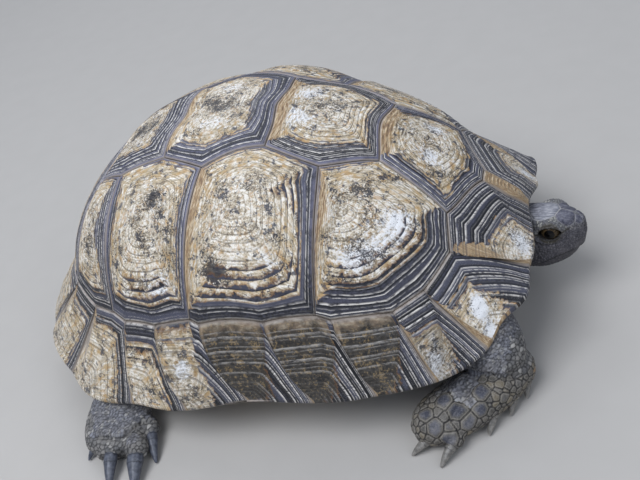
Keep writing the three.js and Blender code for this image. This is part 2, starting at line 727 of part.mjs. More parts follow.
function addForeLimb(side) {
  const label = side > 0 ? 'left' : 'right';
  const stations = onSide(FOREARM, side);
  const bare = limbSolid(stations, { steps: 11, sides: 14 });
  const scaled = FOREARM_SCALES.reduce((arm, scale) => arm.add(limbScale(stations, scale, side)), bare);
  const forearm = keep(`forearm_${label}`, clearOf(scaled.intersect(aboveFloor), ...body), 'skin');
  const upper = limbSolid(onSide(UPPER_ARM, side), { steps: 7, sides: 14 });
  keep(`upper_arm_${label}`, clearOf(upper, forearm, ...body), 'skin');
  FORE_CLAWS.forEach((claw, i) => {
    const solid = clawSolid(claw, side).intersect(aboveFloor);
    keep(`fore_claw_${label}_${i + 1}`, clearOf(solid, forearm), 'claw');
  });
}

function addHindLimb(side) {
  const label = side > 0 ? 'left' : 'right';
  const whole = limbSolid(onSide(HIND_FOOT, side), { steps: 10, sides: 14, square: 2.5 });
  const foot = keep(`hind_foot_${label}`, clearOf(whole.intersect(aboveFloor), ...body), 'skin');
  const thigh = limbSolid(onSide(THIGH, side), { steps: 5, sides: 14 });
  const spurred = thigh.add(clawSolid(SPUR, side));
  keep(`thigh_${label}`, clearOf(spurred, foot, ...body), 'skin');
  HIND_CLAWS.forEach((claw, i) => {
    const solid = clawSolid(claw, side).intersect(aboveFloor);
    keep(`hind_claw_${label}_${i + 1}`, clearOf(solid, foot), 'darkClaw');
  });
}

[-1, 1].forEach(addForeLimb);
[-1, 1].forEach(addHindLimb);

// ---------------------------------------------------------------- the model
const FINISHES = {
  horn: { color: '#8f8471', roughness: 0.45 },
  belly: { color: '#9a8c6c', roughness: 0.5 },
  skin: { color: '#5b5b60', roughness: 0.85 },
  headSkin: { color: '#4a484a', roughness: 0.6 },
  eye: { color: '#14100c', roughness: 0.08 },
  claw: { color: '#8b857a', roughness: 0.45 },
  darkClaw: { color: '#4a4e57', roughness: 0.45 },
};

const group = new THREE.Group();
group.position.set(...FRAME_SHIFT);
pieces.forEach(({ solid, finish }, name) => {
  const { color, roughness } = FINISHES[finish];
  const material = new THREE.MeshStandardMaterial({ color, roughness, metalness: 0 });
  const mesh = new THREE.Mesh(geometryOf(solid), material);
  mesh.name = name;
  group.add(mesh);
});

export default group;
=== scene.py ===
"""Spur-thighed tortoise, a life-size museum model of an adult at rest on its belly shield.

Lengths are written in millimetres and become metres as each mesh is made. +X points to the
head, +Y to the animal's left, +Z up, and the floor is z = 0.
"""

import math

import bpy
import numpy as np
from mathutils import Matrix, Vector


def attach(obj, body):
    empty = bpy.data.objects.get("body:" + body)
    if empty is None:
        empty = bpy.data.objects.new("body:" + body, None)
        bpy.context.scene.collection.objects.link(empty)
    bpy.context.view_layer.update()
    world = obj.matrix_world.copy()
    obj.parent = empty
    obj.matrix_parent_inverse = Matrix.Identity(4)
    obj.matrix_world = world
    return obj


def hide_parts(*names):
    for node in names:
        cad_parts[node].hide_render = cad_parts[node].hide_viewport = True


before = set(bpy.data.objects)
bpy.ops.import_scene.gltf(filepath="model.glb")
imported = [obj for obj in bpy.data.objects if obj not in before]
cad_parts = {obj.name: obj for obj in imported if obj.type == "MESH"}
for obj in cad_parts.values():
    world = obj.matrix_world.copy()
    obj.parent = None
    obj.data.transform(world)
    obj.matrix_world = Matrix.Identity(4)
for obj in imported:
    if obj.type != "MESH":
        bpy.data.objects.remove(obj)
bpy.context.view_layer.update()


# ---------------------------------------------------------------- studio
# A pale floor under soft boxes, and a camera that looks down on the animal's right side,
# rolled a little to the left. Nothing here belongs to the model.
MM = 0.001
FRAME_SHIFT = np.array([1.0, 0.0, 0.0])      # from the middle of the shell to the middle of the box

CAMERA = {"target": (15.02, -8.56, 44.3), "azimuth": 26.03, "elevation": 37.74, "roll": -20.23,
          "distance": 384.49, "lens": 47.08, "sensor": 36, "nearest": 0.01}
FLOOR = {"size": 6.0, "blobs_per_metre": 60.0, "colours": ("#B9B5AE", "#BEBAB3")}
SKY = {"colour": "#D2DEF4", "strength": 0.38}
LIGHTS_FACE = Vector((0, 0, 0.05))           # metres, in the middle of the animal
# Soft boxes: azimuth and elevation they shine from, distance, width, watts, colour.
LIGHTS = [
    {"name": "key_box", "from": (-28, 62), "distance": 1.1, "size": 0.7, "power": 9.5, "hex": "#F2F6FF"},
    {"name": "fill_box", "from": (70, 38), "distance": 1.3, "size": 0.9, "power": 3.2, "hex": "#E6ECF8"},
    {"name": "back_box", "from": (200, 45), "distance": 1.3, "size": 0.9, "power": 5, "hex": "#EEF2FA"},
]


def to_metres(points):
    """Millimetres from the middle of the shell, as metres in the shared frame."""
    return (np.asarray(points, float) + FRAME_SHIFT) * MM


def linear(hex_colour):
    """An sRGB hex colour as linear red, green, blue and 1."""
    parts = [int(hex_colour[i:i + 2], 16) / 255 for i in (1, 3, 5)]
    straight = [c / 12.92 if c <= 0.04045 else ((c + 0.055) / 1.055) ** 2.4 for c in parts]
    return (*straight, 1.0)


def node(tree, kind, inputs=(), stops=(), **settings):
    """Adds a shader node and returns its outputs.

    inputs fill its sockets in order, or by number or name where they are a dict, and a hex colour is
    made linear. stops are a ramp's (place, hex colour) pairs, and settings the node's properties.
    """
    made = tree.nodes.new("ShaderNode" + kind)
    for name, value in settings.items():
        setattr(made, name, value)
    for socket, value in inputs.items() if isinstance(inputs, dict) else enumerate(inputs):
        if isinstance(value, bpy.types.NodeSocket):
            tree.links.new(value, made.inputs[socket])
        else:
            made.inputs[socket].default_value = linear(value) if isinstance(value, str) else value
    if stops:
        band = made.color_ramp.elements
        while len(band) < len(stops):
            band.new(1.0)
        for element, (place, hex_colour) in zip(band, stops):
            element.position, element.color = place, linear(hex_colour)
    return made.outputs


def mask(tree, *parts):
    """The product of several shares, which says how far a layer shows.

    A part is an output or a number. A tuple is an output, the values between which it slopes and,
    where they aren't 0 and 1, its shares there.
    """
    shares = [node(tree, "MapRange", part)[0] if isinstance(part, tuple) else part for part in parts]
    whole = shares[0]
    for share in shares[1:]:
        whole = node(tree, "Math", [whole, share], operation="MULTIPLY")[0]
    return whole


def layered(tree, base, *layers):
    """Colours laid over a base in turn, as (amount, colour) pairs. An amount may be a part of a mask."""
    for amount, colour in layers:
        base = node(tree, "Mix", {0: mask(tree, amount), 6: base, 7: colour}, data_type="RGBA")[2]
    return base


def new_finish(name, roughness, ior=1.5):
    """A new material with its node tree and shader."""
    material = bpy.data.materials.new(name)
    material.use_nodes = True
    shader = material.node_tree.nodes["Principled BSDF"]
    shader.inputs["Roughness"].default_value = roughness
    shader.inputs["IOR"].default_value = ior
    return material, material.node_tree, shader


def surface(tree, shader, colour, relief=None, strength=0.5, deep=0.0004):
    """Links the colour and a fine relief, `deep` metres deep, to the shader."""
    tree.links.new(colour, shader.inputs["Base Color"])
    if relief is not None:
        bump = node(tree, "Bump", {"Height": relief, "Strength": strength, "Distance": deep})
        tree.links.new(bump[0], shader.inputs["Normal"])


def direction(azimuth, elevation):
    """Unit vector towards a place on the sky. Azimuth 0 is -Y and 90 is +X."""
    a, e = math.radians(azimuth), math.radians(elevation)
    return Vector((math.sin(a) * math.cos(e), -math.cos(a) * math.cos(e), math.sin(e)))


def place_camera():
    """The camera looks along minus back, with its axes turned about back by the roll."""
    back = direction(CAMERA["azimuth"], CAMERA["elevation"])
    level = Vector((0, 0, 1)).cross(back).normalized()
    upright = back.cross(level)
    roll = math.radians(CAMERA["roll"])
    right = math.cos(roll) * level + math.sin(roll) * upright
    up = -math.sin(roll) * level + math.cos(roll) * upright
    data = bpy.data.cameras.new("camera")
    data.lens = CAMERA["lens"]
    data.sensor_width = CAMERA["sensor"]
    data.clip_start = CAMERA["nearest"]
    camera = bpy.data.objects.new("camera", data)
    bpy.context.scene.collection.objects.link(camera)
    spot = Vector(to_metres(CAMERA["target"])) + back * CAMERA["distance"] * MM
    turned = Matrix((right, up, back)).transposed().to_4x4()
    camera.matrix_world = Matrix.Translation(spot) @ turned
    bpy.context.scene.camera = camera


def add_light(name, towards, distance, size, power, colour):
    """A square soft box that faces the middle of the animal."""
    data = bpy.data.lights.new(name, "AREA")
    data.size = size
    data.energy = power
    data.color = linear(colour)[:3]
    light = bpy.data.objects.new(name, data)
    bpy.context.scene.collection.objects.link(light)
    light.location = direction(*towards) * distance + LIGHTS_FACE
    light.rotation_mode = "QUATERNION"
    light.rotation_quaternion = (-direction(*towards)).to_track_quat("-Z", "Y")


def add_floor():
    """One large flat sheet of matt card, with a faint mottle."""
    half = FLOOR["size"] / 2
    mesh = bpy.data.meshes.new("floor")
    corners = [(-half, -half, 0), (half, -half, 0), (half, half, 0), (-half, half, 0)]
    mesh.from_pydata(corners, [], [(0, 1, 2, 3)])
    floor = bpy.data.objects.new("floor", mesh)
    bpy.context.scene.collection.objects.link(floor)
    card, tree, shader = new_finish("matt studio card", roughness=0.9)
    where = node(tree, "TexCoord")["Object"]
    mottle = node(tree, "TexNoise", {"Vector": where, "Scale": FLOOR["blobs_per_metre"]})[0]
    surface(tree, shader, layered(tree, FLOOR["colours"][0], (mottle, FLOOR["colours"][1])))
    mesh.materials.append(card)


def add_sky():
    """Even pale light from all round."""
    world = bpy.data.worlds.new("sky")
    world.use_nodes = True
    back = world.node_tree.nodes["Background"]
    back.inputs["Color"].default_value = linear(SKY["colour"])
    back.inputs["Strength"].default_value = SKY["strength"]
    bpy.context.scene.world = world


place_camera()
for light in LIGHTS:
    add_light(light["name"], light["from"], light["distance"], light["size"], light["power"], light["hex"])
add_floor()
add_sky()
bpy.context.scene.view_settings.view_transform = "Standard"


# ---------------------------------------------------------------- form of the upper shell
# The shell is laid out on a disc, p forward and q to the left, whose edge is the rim. Bone carries
# the horn plates, and every piece of the shell below is set on this one surface.
SHELL = {
    "front": 95.9,       # centre to front, before the flare of the rim
    "rear": 111.6,
    "half_width": 79.4,
    "height": 114.8,
    "corner": 2.52,      # squareness of the plan
    "crown": 1.87,       # fullness of the top of the dome
    "flare_start": 0.7,  # disc radius where the rim begins to flare
    "lip": 3.0,          # thickness of the rim
    "ceiling": 46.0,     # underside over the body
}
# Values spread evenly from the front of the rim, past the side, to the rear.
RIM_HEIGHT = np.array([51, 40.6, 30.6, 28.6, 28.6, 25, 18.6, 26.4, 28.2])
RIM_FLARE = np.array([17.2, 16.7, 16.1, 10.3, 7.7, 13.6, 19, 21.6, 23.8])
FLANK_POWER = np.array([1.5, 1.67, 2.7, 2.64, 2.27])
# Corners and notches of the rim: degrees from the front, reach in degrees, distance outward.
RIM_NOTCHES = [(0, 9, -4.4), (17.4, 3, -1), (26, 5, 2.6), (32.5, 4, -2.2), (119, 4, -0.8),
               (141.1, 4, -1.4), (157.8, 4, -1.2)]
SHELL_MIDDLE = np.array([(SHELL["front"] - SHELL["rear"]) / 2, 0])    # middle of the plan


def smooth(t):
    """Zero below 0, one above 1, and 3tt - 2ttt between."""
    t = np.clip(t, 0, 1)
    return t * t * (3 - 2 * t)


def round_the_rim(values, cosine):
    """Cosine blend of values spread evenly by angle from the front (1) to the rear (-1)."""
    place = np.arccos(np.clip(cosine, -1, 1)) / math.pi * (len(values) - 1)
    first = np.minimum(len(values) - 2, np.floor(place)).astype(int)
    blend = (1 - np.cos(math.pi * (place - first))) / 2
    return values[first] * (1 - blend) + values[first + 1] * blend


def bell(value, width):
    """One at 0, falling off to both sides as exp(-(value / width) ^ 2)."""
    return np.exp(-(value / width) ** 2)


def unit(vectors, tiny=0.0):
    """Vectors divided by their lengths, to which tiny is added where they may be zero."""
    return vectors / (np.linalg.norm(vectors, axis=-1, keepdims=True) + tiny)


def dome(p, q):
    """Point of the shell over disc place p, q, in millimetres.

    Plan: a rounded square of the disc radius, with a flare near the rim. Height: the rim's
    height plus the rest of the dome times (1 - reach ^ flank) ^ (1 / crown).
    """
    r = np.hypot(p, q) + 1e-9
    c, s = p / r, q / r
    plan = (np.abs(c) ** SHELL["corner"] + np.abs(s) ** SHELL["corner"]) ** (-1 / SHELL["corner"])
    rim = round_the_rim(RIM_HEIGHT, c)
    degrees = np.degrees(np.arccos(np.clip(c, -1, 1)))
    notch = sum(out * bell(degrees - at, reach) for at, reach, out in RIM_NOTCHES)
    outward = np.clip((r - SHELL["flare_start"]) / (1 - SHELL["flare_start"]), 0, 1) ** 2
    flare = round_the_rim(RIM_FLARE, c) * outward + notch * outward ** 2
    reach = np.sin(np.minimum(r, 1) * math.pi / 2)
    fall = np.maximum(0, 1 - reach ** round_the_rim(FLANK_POWER, c)) ** (1 / SHELL["crown"])
    length = (SHELL["front"] + SHELL["rear"]) / 2 + (SHELL["front"] - SHELL["rear"]) / 2 * c
    x = length * c * reach * plan + flare * c
    y = SHELL["half_width"] * s * reach * plan + flare * s
    return np.stack([x, y, rim + (SHELL["height"] - rim) * fall], axis=-1)


def dome_normal(p, q):
    """Unit normal, from the cross product of two short steps on the disc, kept inside the rim."""
    step = 0.01
    pull = np.minimum(1, (1 - 1.5 * step) / (np.hypot(p, q) + 1e-9))
    a, b = p * pull, q * pull
    return unit(np.cross(dome(a + step, b) - dome(a - step, b), dome(a, b + step) - dome(a, b - step)))


def add_piece(name, points, faces, material, marks=None, smooth_shade=True):
    """A mesh object from points in millimetres and a list of face arrays, one row a face.

    marks holds arrays of four numbers a point, kept as colour attributes for the material.
    """
    mesh = bpy.data.meshes.new(name)
    corners = np.concatenate([np.asarray(f).ravel() for f in faces])
    sizes = np.concatenate([np.full(len(f), np.asarray(f).shape[1]) for f in faces])
    mesh.vertices.add(len(points))
    mesh.vertices.foreach_set("co", to_metres(points).ravel())
    mesh.loops.add(len(corners))
    mesh.loops.foreach_set("vertex_index", corners.astype(np.int32))
    mesh.polygons.add(len(sizes))
    mesh.polygons.foreach_set("loop_start", np.concatenate([[0], np.cumsum(sizes)[:-1]]).astype(np.int32))
    mesh.polygons.foreach_set("use_smooth", np.full(len(sizes), smooth_shade))
    mesh.update(calc_edges=True)
    for label, values in (marks or {}).items():
        layer = mesh.attributes.new(label, "FLOAT_COLOR", "POINT")
        layer.data.foreach_set("color", np.asarray(values, np.float32).ravel())
    mesh.materials.append(material)
    piece = bpy.data.objects.new(name, mesh)
    bpy.context.scene.collection.objects.link(piece)
    return piece


def grid_faces(rows, columns, closed=False, start=0):
    """Quads of a grid stored row by row. A closed grid joins its last column to its first."""
    wrap = columns if closed else columns - 1
    i, j = np.meshgrid(np.arange(rows - 1), np.arange(wrap), indexing="ij")
    a = start + i * columns + j
    b = start + i * columns + (j + 1) % columns
    return np.stack([a, b, b + columns, a + columns], axis=-1).reshape(-1, 4)


def fan_faces(loop, centre):
    """Triangles from each step of a closed loop to one point."""
    loop = np.asarray(loop)
    return np.stack([loop, np.roll(loop, -1), np.full(len(loop), centre)], axis=-1)


# ---------------------------------------------------------------- bone of the upper shell
# A thin dome of dry bone under the horn. It shows only as a pale line in the seams and on the
# underside, where it arches over the body.
BONE_DEPTH = 1.0          # below the shell's outer surface
BONE_SPAN = (0.02, 0.975)  # disc radii of its first and last rings
BONE_RINGS = 40
BONE_SIDES = 180
# Underside levels: reach towards the rim, step down, and share of the rise from rim to ceiling.
BONE_UNDERSIDE = [(0.955, -2.0, 0.0), (0.88, -1.2, 0.0), (0.76, 0.0, 0.5), (0.55, 0.0, 1.0), (0.2, 0.0, 1.0)]


def bone_material():
    """Dry cortical bone: matt, grey-cream, with brown stain in its pores."""
    material, tree, shader = new_finish("dry cortical bone", roughness=0.7)
    where = node(tree, "TexCoord")["Object"]
    stain = node(tree, "TexNoise", {"Vector": where, "Scale": 1 / 0.0055, "Detail": 5.0})[0]
    surface(tree, shader, layered(tree, "#857C74", (stain, "#A59C92")), stain, strength=0.3)
    return material


def add_bone():
    """Rings of the lowered dome from the crown to the rim, then the underside's rings inwards."""
    turn = np.linspace(0, 2 * math.pi, BONE_SIDES, endpoint=False)
    r, angle = np.meshgrid(np.linspace(*BONE_SPAN, BONE_RINGS), turn, indexing="ij")
    p, q = r * np.cos(angle), r * np.sin(angle)
    top = dome(p, q) - BONE_DEPTH * dome_normal(p, q)
    rim = dome(np.cos(turn), np.sin(turn))
    under = []
    for reach, drop, share in BONE_UNDERSIDE:
        flat = SHELL_MIDDLE + (rim[:, :2] - SHELL_MIDDLE) * reach
        height = rim[:, 2] + drop + (SHELL["ceiling"] - rim[:, 2]) * share
        under.append(np.column_stack([flat, height]))
    rows = np.concatenate([top, np.stack(under)])
    crown = dome(np.array(1e-6), np.array(0.0)) - [0, 0, BONE_DEPTH]
    points = np.concatenate([rows.reshape(-1, 3), [crown], [[*SHELL_MIDDLE, SHELL["ceiling"]]]])
    count = len(points)
    last = (len(rows) - 1) * BONE_SIDES
    faces = [
        grid_faces(len(rows), BONE_SIDES, closed=True)[:, ::-1],
        fan_faces(np.arange(BONE_SIDES), count - 2),
        fan_faces(np.arange(last, last + BONE_SIDES)[::-1], count - 1),
    ]
    bone = add_piece("shell_bone", points, faces, bone_material())
    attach(bone, "root")
    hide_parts("carapace")


add_bone()


# ---------------------------------------------------------------- horn plates of the upper shell
# Keratin plates, each grown in yearly rings round its first plate. The rings are widest towards
# the front and the sides, where they are near black, and narrow and tan towards the rear.
def polar(degrees, radius):
    """Disc place at an angle from the front."""
    return (radius * math.cos(math.radians(degrees)), radius * math.sin(math.radians(degrees)))


# Corners of the seams of the left half, on the disc. The right half mirrors them.
SEAMS = {"nuchalTop": (0.793, 0.036), "nuchalSide": (0.885, 0.042), "firstCorner": (0.627, 0.264),
         "v12": (0.391, 0.167), "v23": (0.092, 0.201), "v34": (-0.171, 0.203), "v45": (-0.442, 0.149),
         "apex2": (0.225, 0.229), "apex3": (-0.064, 0.287), "apex4": (-0.318, 0.211)}
# Corners along the rim plates' inner seam: degrees from the front, and radius.
TOP_SEAMS = {"c12": (70.2, 0.758), "c23": (102.1, 0.758), "c34": (125.9, 0.758), "top1": (31.3, 0.758),
             "top2": (43.3, 0.773), "top3": (52.9, 0.789), "top4": (67.2, 0.774), "top5": (83.3, 0.775),
             "top6": (100.1, 0.772), "top7": (112.3, 0.777), "top8": (121.5, 0.776),
             "top9": (134.1, 0.764), "top10": (147, 0.766), "top11": (166, 0.775)}
SEAMS.update({name: polar(*place) for name, place in TOP_SEAMS.items()})
# Seams between the rim plates, in degrees from the front.
RIM_SEAMS = [1.3, 17.4, 39.3, 51.9, 63.8, 77.1, 91.8, 105.6, 119, 141.1, 157.8, 169.5]
SEAMS.update({f"rim{n}": polar(degrees, 1) for n, degrees in enumerate(RIM_SEAMS)})

# Plates that close round their first plate. corners: of the outline, anticlockwise from above, or
# of its left half where the plate lies in the middle. first: where the first plate lies, as a push
# from the middle (forward, outward) in disc units. dark: width in mm of the black zone at the
# front, at the outer side and at the inner side. tan: width in mm of the tan zone at the rear.
# bands: reach in mm of the barred zone.
ROUND_FIELDS = ("corners", "first", "rings", "dark", "tan", "bands")
ROUND_PLATES = {
    "costal1": ("v12 firstCorner top1 top2 top3 top4 c12 apex2",
                (-0.055, -0.085), 12, (10, 9.5, 0.7), 4, 25),
    "costal2": ("apex2 c12 top5 top6 c23 apex3 v23", (-0.01, -0.07), 13, (4, 4, 0.5), 4.5, 25),
    "costal3": ("apex3 c23 top7 top8 c34 apex4 v34", (0.0, -0.06), 12, (3.6, 4.5, 0.5), 6, 23),
    "costal4": ("apex4 c34 top9 top10 v45", (-0.02, -0.05), 11, (7, 6, 0.6), 4, 16),
    "vertebral1": ("nuchalTop firstCorner v12", (-0.03, 0), 12, (9, 6, 0), 5, 0),
    "vertebral2": ("v12 apex2 v23", (-0.01, 0), 13, (5, 7, 0), 5, 0),
    "vertebral3": ("v23 apex3 v34", (-0.02, 0), 15, (10.5, 7.5, 0), 4, 0),
    "vertebral4": ("v34 apex4 v45", (-0.03, 0), 15, (10.5, 8.5, 0), 4, 0),
    "vertebral5": ("v45 top10 top11", (-0.04, 0), 12, (9, 8, 0), 4, 0),
}
# Plates of the rim. path: corners from the front of the rim, inwards, and back to the rim. first:
# the first plate lies on the edge, at this share of the way to the rear. crowd: how rings crowd
# from the front and from the inner side. dark: black rings at the front and at the inner side.
# wedge: share of the front ones left at the inner corner. tan: width in mm at the rear and at the
# inner side. olive: how far straw is stained. bands: reach in mm of the barred zone. clear: reach
# in mm of the tan round the rear corner.
RIM_FIELDS = ("path", "first", "rings", "crowd", "dark", "wedge", "tan", "olive", "bands", "clear")
RIM_PLATES = {
    "nuchal": ("rim0 nuchalSide nuchalTop -nuchalTop -nuchalSide -rim0",
               0.5, 14, (1, 1), (0, 0), 1, (40, 40), 0, 0),
    "marginal1": ("rim0 nuchalSide nuchalTop firstCorner top1 rim1",
                  0.9, 9, (0.85, 0.95), (5.0, 4.2), 0.95, (6.5, 0), 0.1, 0, 9),
    "marginal2": ("rim1 top1 top2 rim2", 0.88, 9, (0.75, 1.0), (6.2, 2.9), 0.55, (5, 2), 0.1, 0),
    "marginal3": ("rim2 top2 top3 rim3", 0.94, 9, (0.65, 1.1), (6.7, 2.6), 0.45, (2.5, 2.5), 0.5, 10),
    "marginal4": ("rim3 top3 top4 rim4", 0.95, 7, (0.6, 1.15), (5.2, 0), 0.55, (3, 2.6), 0.95, 0),
    "marginal5": ("rim4 top4 c12 top5 rim5", 0.95, 7, (0.6, 1.15), (5.2, 0), 0.5, (3.5, 2.8), 0.88, 0),
    "marginal6": ("rim5 top5 top6 rim6", 0.95, 7, (0.6, 1.15), (5.2, 0), 0.5, (3.5, 2.8), 0.82, 0),
    "marginal7": ("rim6 top6 c23 top7 rim7", 0.95, 7, (0.6, 1.15), (4.2, 0), 0.5, (2.5, 2.6), 0.38, 12),
    "marginal8": ("rim7 top7 top8 rim8", 0.92, 8, (0.65, 1.15), (2.8, 0.6), 0.5, (2.5, 3), 0.15, 20),
    "marginal9": ("rim8 top8 c34 top9 rim9", 0.75, 9, (0.8, 1.0), (2, 1), 0.9, (0, 2), 0.1, 0),
    "marginal10": ("rim9 top9 top10 rim10", 0.65, 9, (0.8, 1.0), (2.5, 1.2), 0.9, (0, 2), 0.05, 0),
    "marginal11": ("rim10 top10 top11 rim11", 0.6, 9, (0.8, 1.0), (2.5, 1.2), 0.9, (0, 2), 0.05, 0),
    "supracaudal": ("rim11 top11 -top11 -rim11", 0.5, 9, (0.9, 1.0), (0, 1.4), 0.9, (0, 0), 0.05, 0),
}
# Patches of all plates on the worn horn: place and radius on the disc, and strength. Above 0 they
# are painted highlights, pale glare of the sky; below 0 they are flecked with what is left of the black first
# plate.
PATCHES = [(0.454, 0.358, 0.05, 0.7), (0.408, 0.438, 0.045, 0.4), (0.347, 0.504, 0.05, 0.6),
           (0.335, 0.292, 0.03, -1.0), (0.07, 0.365, 0.035, -0.7), (-0.029, 0.625, 0.045, -1.0),
           (0.132, 0.594, 0.05, 0.45), (0.18, 0.514, 0.03, -0.7), (0.75, 0.526, 0.03, 1.1),
           (0.801, 0.587, 0.035, 0.6), (0.615, 0.719, 0.035, 0.6), (0.613, 0.769, 0.03, 0.5),
           (0.929, 0.228, 0.055, 0.7), (0.556, 0.08, 0.04, 0.5), (0.54, 0.0, 0.035, -0.8),
           (0.241, 0.0, 0.05, -0.9), (0.161, 0.066, 0.05, 0.5), (-0.042, 0.02, 0.06, -0.7),
           (-0.055, 0.092, 0.05, 0.6), (-0.172, 0.366, 0.06, -0.8), (-0.195, 0.3, 0.04, 0.5),
           (-0.224, 0.63, 0.06, 0.6), (-0.232, 0.859, 0.035, 0.7), (-0.404, 0.391, 0.07, -0.6),
           (-0.43, 0.5, 0.06, 0.4), (-0.3, 0.0, 0.06, -0.8), (-0.28, 0.08, 0.05, 0.4),
           (-0.62, 0.1, 0.06, 0.4), (1.0, 0.12, 0.05, -0.5), (0.24, 0.0, 0.16, 0.14), (0.55, 0.0, 0.18, 0.16),
           (0.8, 0.53, 0.2, 0.18), (0.36, 0.42, 0.16, 0.12), (-0.77, 0.48, 0.16, 0.18)]
SEAM_SPACING = 1.2        # between points along a seam
RING_CROWDING = 1.0       # rings crowd towards the seam below 1: count goes as depth to this power
OUTER_SPREAD = 0.15       # added to it towards the outer side of a side plate
STREAK = 5.0              # length of a streak of colour along a ring
ROWS_PER_RING = 5.5
DRAWN = 0.985             # share of the way to the first plate that the rings take
NO_ZONE = -2.0            # ring at which a zone ends where there is none
# Outlines grow rounder inwards. Each point is averaged with those up to 1/span of the outline away,
# by a share that rises to most, from one depth on and over another.
ROUND_SOFT = {"span": 13, "most": 0.95, "from": 0.02, "over": 0.5}
RIM_SOFT = {"span": 20, "most": 0.7, "from": 0.1, "over": 0.8}
ROUND_WAVE = (0.22, 26)   # waves of the rings: height in rings, and length
RIM_WAVE = (0.12, 24)
ALL_TAN = 20              # a tan zone wider than this covers its plate
SEAM_FLOOR = -0.25        # height of a plate's edge over the dome
BEVEL = (0.65, 0.5)       # rise of the edge, and the distance it takes
SWELL = 1.35              # further rise towards the first plate
RIDGE = 0.28              # height of a growth ring
RING_SHARPNESS = 5        # narrowness of the grooves between rings
# Worn middle: depth where it begins, and over which it sets in.
ROUND_WORN = (0.3, 0.4)
RIM_WORN = (0.45, 0.4)
RIM_CALM = (0.75, 0.93)   # share of the relief that is lost at the edge, and from which disc radius
RIM_PEAK = 0.25           # share of the swell over a rim plate's first plate
CAP_DEPTH = 1.6           # how far the hidden back of a plate lies below its middle
# Rim wrapped under: reach from the middle of the shell, and height over the rim.
RIM_WRAP = [(1.003, -0.7), (1.004, -1.5), (0.999, -2.3), (0.988, -2.9), (0.97, -3.0),
            (0.94, -2.6), (0.91, -2.0), (0.885, -1.5)]


def corner_place(name):
    """Disc place of a named corner. A leading minus takes the right half's."""
    p, q = SEAMS[name.lstrip("-")]
    return np.array([p, -q if name.startswith("-") else q])


def seam_line(names, closed):
    """Disc points along a chain of corners, straight on the disc and evenly spaced in millimetres."""
    ends = [*names[1:], names[0]] if closed else names[1:]
    parts = []
    for a, b in zip(names, ends):
        start, end = corner_place(a), corner_place(b)
        steps = max(2, math.ceil(np.linalg.norm(dome(*end) - dome(*start)) / SEAM_SPACING))
        parts.append(start + (end - start) * (np.arange(steps) / steps)[:, None])
    if not closed:
        parts.append([corner_place(names[-1])])
    return np.concatenate(parts)


def rolling_mean(loop, width, closed):
    """Average of each point with its neighbours along a line."""
    reach = int(width)
    if closed:
        return sum(np.roll(loop, k, axis=0) for k in range(-reach, reach + 1)) / (2 * reach + 1)
    padded = np.concatenate([np.repeat(loop[:1], reach, 0), loop, np.repeat(loop[-1:], reach, 0)])
    return sum(padded[k:k + len(loop)] for k in range(2 * reach + 1)) / (2 * reach + 1)


def ripple(points, spacing, seed):
    """Smooth waves of a few directions, between about -1 and 1, that bend the growth rings."""
    rng = np.random.default_rng(seed)
    total = np.zeros(points.shape[:-1])
    for _ in range(6):
        along = rng.normal(size=3)
        along *= 2 * math.pi / spacing / np.linalg.norm(along)
        total += np.sin(points @ along + rng.uniform(0, 2 * math.pi))
    return total / 3


def ramp(value):
    """How far an edge faces a direction, from its cosine."""
    return smooth((value - 0.35) / 0.35)


def ring_heights(depth, count, wear, deep):
    """Height over the dome: a bevelled edge, a gentle swell, and rings parted by narrow grooves."""
    ridge = 1 - np.abs(2 * (count % 1) - 1) ** RING_SHARPNESS
    edge = BEVEL[0] * (1 - np.exp(-deep / BEVEL[1]))
    return SEAM_FLOOR + edge + SWELL * smooth(depth / 0.6) + RIDGE * (1 - 0.75 * wear) * (ridge - 0.5)


def zone_count(width, length, rings, crowding):
    """Rings in a zone whose width is given in millimetres, or NO_ZONE where it has none."""
    return np.where(width > 0.15, rings * np.clip(width / length, 0, 1.2) ** crowding, NO_ZONE)


def streak_place(edge, closed):
    """Where each spoke stands along the outline, in streaks. A closed outline is laid on a circle."""
    steps = np.linalg.norm(np.diff(edge, axis=0), axis=1)
    along = np.concatenate([[0], np.cumsum(steps)]) / STREAK
    if not closed:
        return np.stack([along, 0 * along], axis=-1)
    total = along[-1] + np.linalg.norm(edge[0] - edge[-1]) / STREAK
    turn = 2 * math.pi * along / total
    return np.stack([np.cos(turn), np.sin(turn)], axis=-1) * total / (2 * math.pi)


def patch_strength(p, q):
    """Strength of the patches at places on the disc, above 0 a painted highlight: each patch falls off from
    its middle as a bell.
    """
    strength = np.zeros(np.broadcast(p, q).shape)
    for patch_p, patch_q, radius, full in PATCHES:
        far = (p - patch_p) ** 2 + (np.abs(q) - patch_q) ** 2
        strength += full * np.exp(-far / radius ** 2)
    return strength


def plate_marks(count, ends, wear, patch, name, streak):
    """The numbers that the horn's material reads, for each point of a plate.

    growth: ring, ring where black ends, ring where tan ends, olive stain.
    age: wear of the middle, reach of the bars, patch strength, and a number that is the plate's own.
    streak: place along the outline, width of a ring there, and distance from the seam in millimetres.
    """
    dark_end, tan_end, band_end, olive, wide, deep = ends
    own = (sum(ord(letter) * (i + 3) for i, letter in enumerate(name)) % 97) / 97
    rows = {"growth": (count, dark_end, tan_end, olive), "age": (wear, band_end, patch, own),
            "streak": (streak[:, 0], streak[:, 1], wide, deep)}
    whole = np.ones_like(count)
    return {label: np.stack([part * whole for part in parts], axis=-1) for label, parts in rows.items()}


def turned_over(faces):
    """Faces that look the other way."""
    return [f[:, ::-1] for f in faces]


